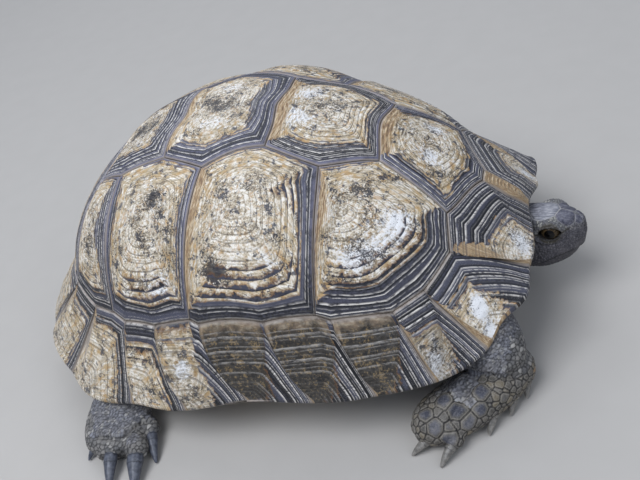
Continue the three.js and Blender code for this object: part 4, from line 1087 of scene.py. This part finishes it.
def tube(stations, rows, sides, square=2.2):
    """A closed limb: rounded-square sections square to the path, closed on a point at each end."""
    centre, size, wide, high = tube_frame(stations, np.linspace(0, 1, rows))
    turn = np.linspace(0, 2 * math.pi, sides, endpoint=False)
    c, s = np.cos(turn), np.sin(turn)
    plump = (np.abs(c) ** square + np.abs(s) ** square) ** (-1 / square)
    points = centre[:, None] + wide[:, None] * (size[:, :1] * c * plump)[..., None]
    points = points + high[:, None] * (size[:, 1:] * s * plump)[..., None]
    return np.concatenate([points.reshape(-1, 3), centre[[0, -1]]]), tube_faces(rows, sides)


def toe(root, tip, thick):
    """A short stout toe that carries a claw."""
    root, tip = np.array(root, float), np.array(tip, float)
    back, end = root - 0.22 * (tip - root), root + 0.3 * (tip - root)
    stations = [[*back, thick * 0.7, thick * 0.7], [*root, thick * 1.35, thick * 1.3],
                [*(root * 0.5 + end * 0.5), thick * 1.3, thick * 1.2], [*end, thick * 0.8, thick * 0.8]]
    return tube(stations, *TUBE_GRIDS["toe"])


def claws_on_side(claws, side):
    """Roots and tips of one foot's claws."""
    ends = [on_side([root, tip], side) for root, tip, _ in claws]
    return [(a, b, thick) for (a, b), (_, _, thick) in zip(ends, claws)]


def one_skin(name, tubes):
    """Joins closed tubes to one skin by voxels and eases its creases: points, normals and quads."""
    points, faces, start = [], [], 0
    for tube_points, tube_faces in tubes:
        points.append(tube_points)
        faces.extend(f + start for f in tube_faces)
        start += len(tube_points)
    blank = bpy.data.materials.new("blank")
    rough = add_piece(name + "_rough", np.concatenate(points), faces, blank)
    remesh = rough.modifiers.new("join", "REMESH")
    remesh.mode = "VOXEL"
    remesh.voxel_size = VOXEL * MM
    ease = rough.modifiers.new("ease", "SMOOTH")
    ease.factor = 0.5
    ease.iterations = EASING
    bpy.context.view_layer.update()
    done = rough.evaluated_get(bpy.context.evaluated_depsgraph_get()).to_mesh()
    found, normal = np.empty((2, len(done.vertices) * 3))
    done.vertices.foreach_get("co", found)
    done.vertices.foreach_get("normal", normal)
    corners = np.empty(len(done.loops), np.int32)
    done.loops.foreach_get("vertex_index", corners)
    bpy.data.objects.remove(rough)
    bpy.data.materials.remove(blank)
    return found.reshape(-1, 3) / MM - FRAME_SHIFT, normal.reshape(-1, 3), corners.reshape(-1, 4)


def nearest_scales(points, seeds, weight, reach):
    """Each point's own scale, and its distance to the border with the next nearest one.

    Nearness is squared distance less weight. Scales are sorted into cubes as wide as reach, and
    each point looks in the 27 cubes about it.
    """
    low = np.minimum(points.min(axis=0), seeds.min(axis=0)) - 1.01 * reach
    shape = np.ceil((points.max(axis=0) - low) / reach).astype(int) + 3
    strides = np.array([shape[1] * shape[2], shape[2], 1])
    seed_cube = np.floor((seeds - low) / reach).astype(int) @ strides
    order = np.argsort(seed_cube, kind="stable")
    sorted_cube = seed_cube[order]
    home = np.floor((points - low) / reach).astype(int) @ strides
    best = np.full((2, len(points)), np.inf)
    who = np.zeros((2, len(points)), int)
    steps = np.array(np.meshgrid([-1, 0, 1], [-1, 0, 1], [-1, 0, 1])).reshape(3, -1).T @ strides
    for step in steps:
        first = np.searchsorted(sorted_cube, home + step)
        last = np.searchsorted(sorted_cube, home + step, side="right")
        for k in range(int((last - first).max())):
            near = np.where(first + k < last)[0]
            seed = order[first[near] + k]
            cost = ((points[near] - seeds[seed]) ** 2).sum(axis=1) - weight[seed]
            ahead = cost < best[0, near]
            behind = ~ahead & (cost < best[1, near])
            best[1, near[ahead]], who[1, near[ahead]] = best[0, near[ahead]], who[0, near[ahead]]
            best[0, near[ahead]], who[0, near[ahead]] = cost[ahead], seed[ahead]
            best[1, near[behind]], who[1, near[behind]] = cost[behind], seed[behind]
    apart = np.linalg.norm(seeds[who[0]] - seeds[who[1]], axis=1) + 1e-6
    gap = np.where(np.isfinite(best[1]), best[1] - best[0], 4 * reach * reach)
    return who[0], gap / (2 * apart)


def scatter_scales(points, spacing, seed):
    """Scale middles spread over a skin: one point of each lattice cell, then evened out three times."""
    rng = np.random.default_rng(seed)
    cell = np.floor((points + rng.uniform(0, spacing, 3)) / spacing).astype(int)
    order = rng.permutation(len(points))
    _, pick = np.unique(cell[order], axis=0, return_index=True)
    seeds = points[order[pick]]
    for _ in range(3):
        own, _ = nearest_scales(points, seeds, np.zeros(len(seeds)), 1.7 * spacing)
        count = np.bincount(own, minlength=len(seeds))
        mean = np.stack([np.bincount(own, points[:, k], len(seeds)) for k in range(3)], axis=1)
        seeds = (mean / np.maximum(count, 1)[:, None])[count > 0]
    return seeds


def forearm_plates(side):
    """Middles and radii of the large scales of one forearm."""
    stations = on_side(FOREARM, side)
    along, turn, radius = np.array(FOREARM_SCALES).T
    centre, size, wide, high = tube_frame(stations, along)
    angle = np.radians(turn if side < 0 else 180 - turn)
    c, s = np.cos(angle)[:, None], np.sin(angle)[:, None]
    return centre + wide * size[:, :1] * c + high * size[:, 1:] * s, radius


def among(scales, middle, radius, clear_of, pull):
    """Puts large scales in the place of small ones. scales are middles, weights and sizes.

    Small ones stay from clear_of radii outwards, and a large one weighs the square of pull radii.
    """
    clear = (np.linalg.norm(scales[0][:, None] - middle, axis=2) > radius * clear_of).all(axis=1)
    return [np.concatenate([old[clear], new])
            for old, new in zip(scales, (middle, (radius * pull) ** 2, 2 * radius))]


def raise_scales(points, normal, plates, kind_at, seed):
    """Scales as rounded cobbles. kind_at says which of SCALE_SPACINGS holds at each point.

    Returns the raised points and, for each, the distance to the scale's border, a number that is
    the scale's own, and the scale's size.
    """
    rng = np.random.default_rng(seed)
    kinds = [scatter_scales(points, spacing, seed) for spacing in SCALE_SPACINGS]
    middles = [found[kind_at(found) == kind] for kind, found in enumerate(kinds)]
    size = np.concatenate([np.full(len(m), spacing) for m, spacing in zip(middles, SCALE_SPACINGS)])
    middles = np.concatenate(middles)
    scales = [middles, rng.uniform(0, 0.3, len(middles)) * size ** 2, size]
    for middle, radius in plates:
        scales = among(scales, middle, radius, clear_of=0.92, pull=0.8)
    own, gap = nearest_scales(points, *scales[:2], SCALE_REACH)
    own_size = scales[2][own]
    cobble = smooth(gap / np.minimum(COBBLE["edge"] * own_size, COBBLE["widest"]))
    cobble = cobble * (COBBLE["least"] + COBBLE["rise"] * own_size) - COBBLE["sunk"]
    chance = rng.uniform(0, 1, len(scales[0]))[own]
    return points + normal * cobble[:, None], gap, chance, own_size


def scaled_skin(name, material, tubes, plates, replaced, folds, kind_at):
    """A finished skin: joined, folded, scaled, and pressed flat on the floor."""
    points, normal, quads = one_skin(name, tubes)
    points = points + normal * folds(points)[:, None]
    points, gap, chance, own_size = raise_scales(points, normal, plates, kind_at, seed=len(name))
    points[:, 2] = np.maximum(points[:, 2], 0)
    marks = {"scales": np.stack([gap, chance, own_size, np.zeros(len(gap))], axis=1)}
    piece = add_piece(name, points, [quads], material, marks)
    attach(piece, "root")
    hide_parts(*replaced)


def skin_material():
    """Reptile skin: dry keratin scales, matt and dust-coated, slate on the large ones, with painted shade in
    the grooves between the scales.
    """
    material, tree, shader = new_finish("dry scaled skin", roughness=0.7, ior=1.45)
    where = node(tree, "TexCoord")["Object"]
    scales = node(tree, "Attribute", attribute_name="scales")["Color"]
    gap, chance, size = node(tree, "SeparateColor", [scales])
    dust = node(tree, "TexNoise", {"Vector": where, "Scale": 1 / 0.007, "Detail": 4.0})[0]
    grain = node(tree, "TexNoise", {"Vector": where, "Scale": 1 / 0.0009, "Detail": 3.0,
                                    "Roughness": 0.7})[0]
    fine, beads, coarse = [node(tree, "ValToRGB", [chance], stops)[0] for stops in (
        [(0.0, "#6A6B70"), (0.6, "#8B8C93"), (1.0, "#A9A7A2")],
        [(0.0, "#5A5A5B"), (0.6, "#747370"), (0.85, "#8A8782"), (1.0, "#BDBAB3")],
        [(0.0, "#4C4A46"), (0.6, "#656056"), (0.97, "#7C715A"), (1.0, "#A5773F")])]
    slate = node(tree, "ValToRGB", [dust], [(0.35, "#3A3C46"), (0.6, "#545763")])[0]
    off_edge = node(tree, "Math", [gap, 0.6], operation="SUBTRACT")[0]
    off_edge = node(tree, "Math", [off_edge], operation="ABSOLUTE")[0]
    tone = layered(
        tree, fine, ((size, 1.7, 2.2), beads), ((size, 2.4, 3.0), coarse), ((size, 4.0, 4.5), "#686358"),
        (mask(tree, (size, 4.5, 6.5), (gap, 0.5, 2.0)), slate),
        ((dust, 0.42, 0.75, 0.0, 0.6), "#8B867F"),
        ((grain, 0.5, 0.75, 0.0, 0.4), "#A19D99"),
        ((grain, 0.3, 0.45, 0.5, 0.0), "#2B2A2E"),
        (mask(tree, (off_edge, 0.0, 0.25, 0.5, 0.0), (size, 2.4, 3.4)), "#9A948A"),
        # Painted shade: the grooves between the scales are painted near black.
        (mask(tree, (gap, 0.08, 0.45, 1.0, 0.0), (size, 1.6, 3.4, 0.75, 0.97)), "#1D1B1D"))
    surface(tree, shader, tone, weighted(tree, grain, (dust, 2.0)), strength=0.7)
    return material


def crease(across, deep, narrow, bulge, beside, wide):
    """A groove where across is 0, and a soft bulge at beside: one bell less another."""
    return bulge * bell(across - beside, wide) - deep * bell(across, narrow)


def elbow_height(x):
    """Height of the crease between the upper arm and the forearm: a low arch along the body."""
    return 19.4 - 0.028 * (x - 92) ** 2


def fore_folds(points):
    """Loose folds round the neck and where the upper arms leave the shell."""
    x, y, z = points.T
    at_neck = smooth((104 - x) / 8) * smooth((22 - np.abs(y)) / 6)
    at_arm = smooth((96 - x) / 10) * smooth((np.abs(y) - 20) / 6) * smooth((z - 12) / 8)
    rings = np.sin(x * 2 * math.pi / 6.5 + 0.5 * np.sin(z / 3))
    wrinkles = np.sin((x + 0.6 * np.abs(y)) * 2 * math.pi / 8 + 0.6 * np.sin(z / 4))
    at_elbow = smooth((np.abs(y) - 52) / 6) * smooth((x - 74) / 6) * smooth((107 - x) / 4)
    elbow = crease(z - elbow_height(x), **CREASES["elbow"])
    return 0.7 * at_neck * rings + 0.35 * at_arm * wrinkles + at_elbow * elbow


def hind_folds(points):
    """Loose folds above the hind feet and at the root of the tail, and two deep creases behind the toes."""
    x, y, z = points.T
    above = smooth((z - 12) / 6) * smooth((np.abs(y) - 30) / 10)
    at_tail = smooth((30 - np.abs(y)) / 10) * smooth((-x - 84) / 6)
    wrinkles = np.sin(z * 2 * math.pi / 7 + 0.7 * np.sin(x / 5))
    before = np.abs(y) - 96.6 + 10.5 * smooth((x + 69) / 9)
    at_toes = smooth((z - 6) / 2) * smooth((x + 84) / 5) * smooth((-56 - x) / 4)
    beside = x + 79.1 - 0.337 * (np.abs(y) - 82.9)
    at_heel = smooth((np.abs(y) - 78) / 4) * smooth((95 - np.abs(y)) / 3) * smooth((z - 9) / 2)
    loose = 0.5 * above * wrinkles + 0.4 * at_tail * np.sin(x * 2 * math.pi / 4)
    creases = at_toes * crease(before, **CREASES["toes"])
    return loose + creases + at_heel * crease(beside, **CREASES["heel"])


def foreleg_kinds(points):
    """Cobbles on the outer side of the forearm, beads along the front of the upper arm, else grains."""
    x, y, z = points.T
    below_crease = (z < elbow_height(x) - 1) & (x > 89)
    cobbles = ((z < 14 + 0.12 * (np.abs(y) - 60)) | below_crease) & (np.abs(y) > 50)
    beads = (x + 0.35 * np.abs(y) > 123) & (np.abs(y) > 44) & (z < 30)
    return np.where(cobbles, 2, np.where(beads, 1, 0))


def hindleg_kinds(points):
    """Beads round the toes and at the heel, grains elsewhere."""
    x, y, z = points.T
    toes = (z < 11.5) & (np.abs(y) > 84)
    heel = (x < -84) & (z < 14) & (np.abs(y) > 60)
    return np.where(toes | heel, 1, 0)


def add_skins():
    """Tubes of the neck, limbs and toes, joined to a front and a rear skin."""
    fore = [tube(CHEST, *TUBE_GRIDS["trunk"]), tube(NECK, *TUBE_GRIDS["neck"])]
    hind = [tube(RUMP, *TUBE_GRIDS["trunk"]), tube(TAIL, *TUBE_GRIDS["tail"])]
    for side in (1, -1):
        for tubes, claws, limbs in (
                (fore, FORE_CLAWS, [(UPPER_ARM, "upper"), (FOREARM, "lower")]),
                (hind, HIND_CLAWS, [(THIGH, "upper"), (HIND_FOOT, "foot"), (SPUR, "spur")])):
            tubes.extend(tube(on_side(stations, side), *TUBE_GRIDS[kind]) for stations, kind in limbs)
            tubes.extend(toe(*claw) for claw in claws_on_side(claws, side))
    fore_nodes = ["neck", "torso", "forearm_left", "forearm_right", "upper_arm_left", "upper_arm_right"]
    hind_nodes = ["tail", "torso", "hind_foot_left", "hind_foot_right", "thigh_left", "thigh_right"]
    plates = [forearm_plates(side) for side in (1, -1)]
    skin = skin_material()
    scaled_skin("fore_skin", skin, fore, plates, fore_nodes, fore_folds, foreleg_kinds)
    scaled_skin("hind_skin", skin, hind, [], hind_nodes, hind_folds, hindleg_kinds)


add_skins()


# ---------------------------------------------------------------- claws
# Blunt curved cones of horn, worn at the tip, each growing out of a short cuff on its toe.
# The fore claws are pale and the hind claws slate.
CLAW_ROWS = 36
CLAW_SIDES = 32
# Share of the way to the tip, lift of the arch in mm, and share of the thickness.
CLAW_STATIONS = [(0, 0, 1), (0.35, 0.9, 0.9), (0.7, 0.8, 0.6), (0.93, 0.15, 0.3), (1, 0, 0.12)]


def claw_shape(root, tip, thick):
    """A cone along an arched path, flattened below, with fine lengthwise furrows."""
    root, tip = np.array(root, float), np.array(tip, float)
    stations = [[*(root + (tip - root) * t + [0, 0, lift]), thick * size, thick * size * 0.85]
                for t, lift, size in CLAW_STATIONS]
    length = np.linspace(0, 1, CLAW_ROWS)
    centre, size, wide, high = tube_frame(stations, length)
    turn = np.linspace(0, 2 * math.pi, CLAW_SIDES, endpoint=False)
    furrow = 1 + 0.02 * np.sin(turn * 9) - 0.1 * np.maximum(0, -np.sin(turn))
    cuff = (1 + 0.05 * np.sin(length * 26) * (length < 0.35))[:, None]
    points = centre[:, None] + wide[:, None] * (size[:, :1] * cuff * np.cos(turn) * furrow)[..., None]
    points = points + high[:, None] * (size[:, 1:] * cuff * np.sin(turn) * furrow)[..., None]
    points = np.concatenate([points.reshape(-1, 3), centre[[0, -1]]])
    points[:, 2] = np.maximum(points[:, 2], 0)
    share = np.concatenate([np.repeat(length, CLAW_SIDES), [0, 1]])
    return points, tube_faces(CLAW_ROWS, CLAW_SIDES), {"along": np.stack([share] * 4, axis=1)}


def claw_material(name, root_hex, tip_hex, scuff_hex):
    """Claw horn: solid keratin, smooth and waxy, streaked along its length and scuffed at the tip."""
    material, tree, shader = new_finish(name, roughness=0.42, ior=1.54)
    where = node(tree, "TexCoord")["Object"]
    along = node(tree, "Attribute", attribute_name="along")["Fac"]
    streak = node(tree, "TexNoise", {"Vector": where, "Scale": 1 / 0.0016, "Detail": 4.0})[0]
    shade = node(tree, "ValToRGB", [along], [(0.0, root_hex), (1.0, tip_hex)])[0]
    length = node(tree, "Math", [along, 9.0], operation="MULTIPLY")[0]
    band = node(tree, "Math", [weighted(tree, length, (streak, 0.5))], operation="FRACT")[0]
    crease = mask(tree, (band, 0.0, 0.22, 1.0, 0.0), (along, 0.3, 0.5, 0.8, 0.0))
    shade = layered(tree, shade, ((streak, 0.45, 0.7, 0.0, 0.55), scuff_hex),
                    ((streak, 0.3, 0.42, 0.5, 0.0), "#26272C"), (crease, "#1E1E22"))
    relief = node(tree, "Math", [streak, crease], operation="SUBTRACT")[0]
    surface(tree, shader, shade, relief, deep=0.0003)
    return material


def add_claws():
    """Five claws on each forefoot and four on each hind foot."""
    pale = claw_material("pale claw horn", "#615E58", "#837F78", "#A7A29A")
    slate = claw_material("slate claw horn", "#494C55", "#434751", "#767A84")
    for end, claws, finish in (("fore", FORE_CLAWS, pale), ("hind", HIND_CLAWS, slate)):
        for side, label in ((1, "left"), (-1, "right")):
            for i, (root, tip, thick) in enumerate(claws_on_side(claws, side)):
                name = f"{end}_claw_{label}_{i + 1}"
                points, faces, marks = claw_shape(root, tip, thick)
                piece = add_piece(f"horn_{name}", points, faces, finish, marks)
                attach(piece, "root")
                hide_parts(name)


add_claws()


# ---------------------------------------------------------------- head
# A blunt scaled head with a horny beak. Smooth shields cover the crown and the snout, grains lie
# over the eyes and cheeks, and the lids stand proud round each eye.
HEAD = {"at": (113, 0.3, 34.6), "yaw": -4.5, "pitch": -3, "roll": -7}
# Stations from the neck to the beak, in the head's own axes: x, middle height, half width, half height.
SKULL = [(-21, -1.5, 9, 9), (-15, -1.9, 11.4, 11.3), (-7, -2.5, 12.4, 13.2), (0, -2.5, 11.8, 13.5),
         (6, -1.9, 10.4, 12.7), (10.6, -1.3, 8.7, 11.3), (13.8, -0.8, 7, 9.4), (16.2, 0, 5.2, 7.2),
         (17.8, 0.8, 3.6, 4.8), (18.6, 1.3, 1.8, 2.4)]
SKULL_SQUARE = 2.5
HEAD_ROWS = 250
HEAD_SIDES = 270
EYE = {"x": 5, "y": 7.2, "z": 4.6, "radius": 4.2}
LID = {"long": 6, "out": 4.8, "high": 5}
EYE_SLIT = {"long": 4.8, "high": 2.9, "deep": 3.6}
MOUTH = np.array([(-4.5, -11.4), (1, -9.6), (6, -7.8), (11, -6.6), (15.5, -6.4), (21, -7.8)])
MOUTH_GROOVE = {"wide": 0.5, "deep": 1.1, "corner": -9.5}
# Rims round the eye: height, place in reaches of its slit, and width there.
LID_RIMS = [(0.45, 1.3, 0.16), (-0.3, 1.62, 0.13)]
# Lips above and below the mouth: height, how fast they set in, and reach.
UPPER_LIP = (0.45, 0.7, 2.4)
LOWER_LIP = (-0.5, -0.8, 4)
NOSTRIL = {"x": 18.0, "y": 1.7, "z": 2.6, "radius": 0.75, "deep": 1.1}
EAR = {"x": -10.5, "z": -1.5, "radius": 2.9, "deep": 0.45}
GRAIN = 1.35                      # size of the grains between the shields
LID_BLEND = 0.7                   # width over which the lids melt into the skull
LID_EDGE = 1.3                    # end of the bare rim, in reaches of the eye slit
# Shields of the crown and snout: place along the head, turn from the left side over the top, radius.
SHIELDS = [(1.5, 90, 8.4), (-5, 72, 5), (-5, 108, 5), (11.6, 62, 4.9), (11.6, 118, 4.9), (16.4, 60, 2.6),
           (16.4, 120, 2.6), (17.8, 90, 1.7), (-12, 76, 3.6), (-12, 104, 3.6), (-17, 90, 3.4)]


def head_turn():
    """The head's own axes in the body's: rolled, then pitched, then turned."""
    turns = [Matrix.Rotation(math.radians(HEAD[name]), 3, axis)
             for name, axis in (("yaw", "Z"), ("pitch", "Y"), ("roll", "X"))]
    return np.array(turns[0] @ turns[1] @ turns[2])


def from_head(points):
    """Points in the head's axes, in the body's axes."""
    return np.asarray(points) @ head_turn().T + np.array(HEAD["at"])


def skull_surface(t, turn):
    """The bare skull and the axis inside it, over a grid of places along it and turns round it."""
    stations = np.array([(x, 0, z, wide, high) for x, z, wide, high in SKULL], float)
    centre = spline(stations[:, :3], t)[:, None]
    size = spline(stations[:, 3:], t)
    c, s = np.cos(turn), np.sin(turn)
    plump = (np.abs(c) ** SKULL_SQUARE + np.abs(s) ** SKULL_SQUARE) ** (-1 / SKULL_SQUARE)
    offset = np.stack([0 * c * size[:, :1], size[:, :1] * c * plump, size[:, 1:] * s * plump], axis=-1)
    return centre, offset


def lid_reach(x, axis_z, unit_y, unit_z):
    """Distance from the head's axis to the lids' ball along each ray, or zero where it misses."""
    reach = np.zeros_like(x)
    for side in (1, -1):
        room = 1 - ((x - EYE["x"]) / LID["long"]) ** 2
        a = (unit_y / LID["out"]) ** 2 + (unit_z / LID["high"]) ** 2
        b = (unit_y * -side * EYE["y"] / LID["out"] ** 2
             + unit_z * (axis_z - EYE["z"]) / LID["high"] ** 2)
        c = (EYE["y"] / LID["out"]) ** 2 + ((axis_z - EYE["z"]) / LID["high"]) ** 2 - room
        inside = b * b - a * c
        hit = (-b + np.sqrt(np.maximum(inside, 0))) / a
        reach = np.where((inside > 0) & (room > 0), np.maximum(reach, hit), reach)
    return reach


def head_relief(points):
    """Height in or out of the lids, beak, mouth, nostrils and ears.

    Also returns how near the beak a point is, how far it lies from the middle of the eye slit, and
    the depth of the mouth and nostrils there.
    """
    x, y, z = points[..., 0], points[..., 1], points[..., 2]
    along = (x - EYE["x"]) / EYE_SLIT["long"]
    open_high = EYE_SLIT["high"] * np.maximum(0.02, 1 - along ** 2) ** 0.6
    slit = np.maximum(np.abs(z - EYE["z"]) / open_high, np.abs(along))
    slit = np.where(np.abs(y) > 4, slit, 9)
    round_eye = np.hypot((x - EYE["x"]) / EYE_SLIT["long"], (z - EYE["z"]) / EYE_SLIT["high"] * 0.85)
    round_eye = np.where(np.abs(y) > 4, round_eye, 9)
    eye = -EYE_SLIT["deep"] * smooth((1.05 - slit) / 0.16)
    rim = sum(high * bell(round_eye - at, width) for high, at, width in LID_RIMS)
    mouth_z = np.interp(x, MOUTH[:, 0], MOUTH[:, 1])
    below = z - mouth_z
    on_mouth = smooth((x - MOUTH_GROOVE["corner"]) / 2)
    groove = -MOUTH_GROOVE["deep"] * bell(below, MOUTH_GROOVE["wide"]) * on_mouth
    lip, chin = [high * smooth(below / start) * bell(below, far) * on_mouth
                 for high, start, far in (UPPER_LIP, LOWER_LIP)]
    nose = 0
    for side in (1, -1):
        far = (x - NOSTRIL["x"]) ** 2 + (y - side * NOSTRIL["y"]) ** 2 + (z - NOSTRIL["z"]) ** 2
        nose = nose - NOSTRIL["deep"] * np.exp(-(far / NOSTRIL["radius"] ** 2))
    ear_far = np.hypot(x - EAR["x"], z - EAR["z"]) / EAR["radius"]
    ear = 0.5 * bell(ear_far - 1.1, 0.15) - smooth((1 - ear_far) / 0.3)
    ear = EAR["deep"] * ear * (np.abs(y) > 6)
    beak = smooth((x - 3) / 4) * bell(below, 4.2)
    return eye + rim + groove + lip + chin + nose + ear, beak, slit, groove + 0.7 * nose


def head_shields():
    """Middles and radii of the large shields."""
    along, turn, radius = np.array(SHIELDS, float).T
    centre, offset = skull_surface(np.linspace(0, 1, 400), np.radians(turn))
    row = np.abs(centre[:, 0, :1] - along).argmin(axis=0)
    return centre[row, 0] + offset[row, np.arange(len(turn))], radius


def grid_normals(points):
    """Unit normals of a grid that is closed sideways, pointing away from its axis."""
    along = np.gradient(points, axis=0)
    around = np.roll(points, -1, axis=1) - np.roll(points, 1, axis=1)
    return unit(np.cross(around, along), 1e-9)


def add_head():
    """Skull, lids and relief on one grid, then shields and grains, then the head is set in place."""
    turn = np.linspace(0, 2 * math.pi, HEAD_SIDES, endpoint=False)
    centre, offset = skull_surface(np.linspace(0, 1, HEAD_ROWS), turn)
    reach = np.linalg.norm(offset, axis=-1)
    away = offset / reach[..., None]
    lids = lid_reach(centre[..., 0] + 0 * reach, centre[..., 2], away[..., 1], away[..., 2])
    proud = np.exp(np.clip((lids - reach) / LID_BLEND, -30, 30))
    points = centre + away * (reach + LID_BLEND * np.log1p(proud))[..., None]
    relief, beak, slit, groove = head_relief(points)
    normal = grid_normals(points)
    sideways = np.array([0, 1.0, 0]) * np.sign(points[..., 1:2])
    outward = np.where(slit[..., None] < LID_EDGE, sideways, normal)
    flat, flat_normal = points.reshape(-1, 3), normal.reshape(-1, 3)
    grains = scatter_scales(flat, GRAIN, seed=3)
    rng = np.random.default_rng(3)
    scales = [grains, rng.uniform(0, 0.3, len(grains)) * GRAIN ** 2, np.full(len(grains), GRAIN)]
    scales = among(scales, *head_shields(), clear_of=0.95, pull=0.85)
    own, gap = nearest_scales(flat, *scales[:2], SCALE_REACH)
    own_size = scales[2][own]
    smooth_at = np.maximum(beak, 1 - smooth((slit - 1) / 0.3)).ravel()
    cobble = smooth(gap / np.minimum(0.4 * own_size, 0.7)) - 0.5
    cobble = cobble * np.where(own_size > 3, 0.35, 0.3) * (1 - smooth_at)
    points = (points + outward * relief[..., None]).reshape(-1, 3) + flat_normal * cobble[:, None]
    chance = rng.uniform(0, 1, len(scales[0]))[own]
    # dark: painted shade in the mouth groove, the nostrils and round the eye slit.
    dark = np.clip(-groove * 1.3 + smooth((1.25 - slit) / 0.3), 0, 1).ravel()
    ring = smooth((1.75 - slit) / 0.35).ravel()
    marks = {"scales": np.stack([gap, chance, own_size, smooth_at], axis=1),
             "shade": np.stack([beak.ravel(), dark, ring, points[:, 2]], axis=1)}
    marks = {label: np.concatenate([m, m[[0, -1]]]) for label, m in marks.items()}
    points = np.concatenate([points, centre[[0, -1], 0]])
    faces = tube_faces(HEAD_ROWS, HEAD_SIDES)
    piece = add_piece("head_skin", from_head(points), faces, head_material(), marks)
    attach(piece, "root")
    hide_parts("head")


def head_material():
    """Head skin and beak: smooth grey shields with pale edges, pale grains, and dark waxy beak horn, with
    painted shade in the mouth, nostrils, eye slit and between the grains, and a crown painted lighter than
    the cheeks.
    """
    material, tree, shader = new_finish("shielded head skin", roughness=0.55)
    where = node(tree, "TexCoord")["Object"]
    scales = node(tree, "Attribute", attribute_name="scales")["Color"]
    gap, chance, size = node(tree, "SeparateColor", [scales])
    shade = node(tree, "Attribute", attribute_name="shade")
    beak, dark, lid = node(tree, "SeparateColor", [shade["Color"]])
    stretch = node(tree, "VectorMath", [where, (0.3, 1.6, 1.0)], operation="MULTIPLY")[0]
    streaks, dust, grain = [
        node(tree, "TexNoise", {"Vector": place, "Scale": 1 / blob, "Detail": detail, "Roughness": rough})[0]
        for place, blob, detail, rough in ((stretch, 0.0009, 3.0, 0.6), (where, 0.005, 4.0, 0.5),
                                           (where, 0.0008, 3.0, 0.7))]
    # By height the grains turn from the darker cheek ramp to the lighter brow ramp: partly their own colour,
    # partly painted light from above and painted shade below.
    crown = mask(tree, (shade["Alpha"], 3.0, 8.0))
    cheek = node(tree, "ValToRGB", [chance], [(0.0, "#3B393F"), (0.6, "#4C4A50"), (1.0, "#5F5C60")])[0]
    brow = node(tree, "ValToRGB", [chance], [(0.0, "#5B5B60"), (0.6, "#85847F"), (1.0, "#B0ADA2")])[0]
    # Painted shade: the borders between the grains are painted near black, more so on the crown.
    edges = mask(tree, (gap, 0.02, 0.3, 1.0, 0.0), (crown, 0.0, 1.0, 0.5, 0.85))
    small = layered(tree, cheek, (crown, brow), (edges, "#242327"))
    fine = weighted(tree, mask(tree, dust, 0.4), (streaks, 0.6))
    broad = node(tree, "ValToRGB", [fine], [(0.38, "#54545D"), (0.5, "#7F8087"), (0.62, "#ACABAE")])[0]
    snout = node(tree, "ValToRGB", [fine], [(0.38, "#33333E"), (0.5, "#4F4F5B"), (0.62, "#767680")])[0]
    outline = mask(tree, (gap, 0.15, 0.4, 1.0, 0.0), (size, 9.0, 12.0, 0.35, 0.7))
    broad = layered(tree, broad, ((size, 10.5, 12.0, 1.0, 0.0), snout), (outline, "#B0ADA8"))
    horn = node(tree, "ValToRGB", [dust], [(0.35, "#2B2A32"), (0.65, "#514D50")])[0]
    # The last layer is painted shade, near black, in the mouth groove, the nostrils and the eye slit.
    tone = layered(tree, small, ((size, 2.5, 3.5), broad), (beak, horn), (lid, "#3A352C"),
                   ((grain, 0.5, 0.72, 0.0, 0.35), "#A9A7A8"), (dark, "#120F0D"))
    surface(tree, shader, tone, weighted(tree, grain, (dust, 2.0)), deep=0.0003)
    return material


add_head()


# ---------------------------------------------------------------- eyes
# Moist globes set behind the lids: a black pupil in a dark olive-brown iris.
# Both are turned outwards and a little of each shows in its slit.
EYE_ROWS = 40
EYE_SIDES = 56
IRIS = {"pupil": 0.33, "edge": 0.78}      # as shares of a quarter turn from the pole


def eye_material():
    """Eye: a wet clear surface over a dark olive-brown iris with fine spokes."""
    material, tree, shader = new_finish("moist eye", roughness=0.18, ior=1.36)
    gaze = node(tree, "Attribute", attribute_name="gaze")["Color"]
    share, spoke, _ = node(tree, "SeparateColor", [gaze])
    iris = layered(tree, "#241C12", (spoke, "#54452D"))
    surface(tree, shader, layered(tree, "#050505", ((share, IRIS["pupil"], IRIS["pupil"] + 0.03), iris),
                                  ((share, IRIS["edge"], IRIS["edge"] + 0.05), "#2B241D")))
    return material


def add_eyes():
    """A globe whose pole looks outwards, with the share of the way from its pole at each point."""
    moist = eye_material()
    angle, turn = np.meshgrid(np.linspace(0, math.pi, EYE_ROWS)[1:-1],
                              np.linspace(0, 2 * math.pi, EYE_SIDES, endpoint=False), indexing="ij")
    spoke = 0.5 + 0.5 * np.sin(turn * 23 + 2 * np.sin(turn * 5))
    gaze = np.stack([angle / (math.pi / 2), spoke, spoke * 0, spoke * 0], axis=-1).reshape(-1, 4)
    gaze = np.concatenate([gaze, [[0, 0, 0, 0], [2, 0, 0, 0]]])
    faces = tube_faces(EYE_ROWS - 2, EYE_SIDES)
    for side, label in ((1, "left"), (-1, "right")):
        ball = np.stack([np.sin(angle) * np.cos(turn), side * np.cos(angle),
                         np.sin(angle) * np.sin(turn)], axis=-1)
        ball = np.concatenate([ball.reshape(-1, 3), [[0, side, 0], [0, -side, 0]]])
        points = from_head(ball * EYE["radius"] + [EYE["x"], side * EYE["y"], EYE["z"]])
        outwards = faces if side > 0 else turned_over(faces)
        piece = add_piece(f"globe_{label}", points, outwards, moist, {"gaze": gaze})
        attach(piece, "root")
        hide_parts(f"eye_{label}")


add_eyes()
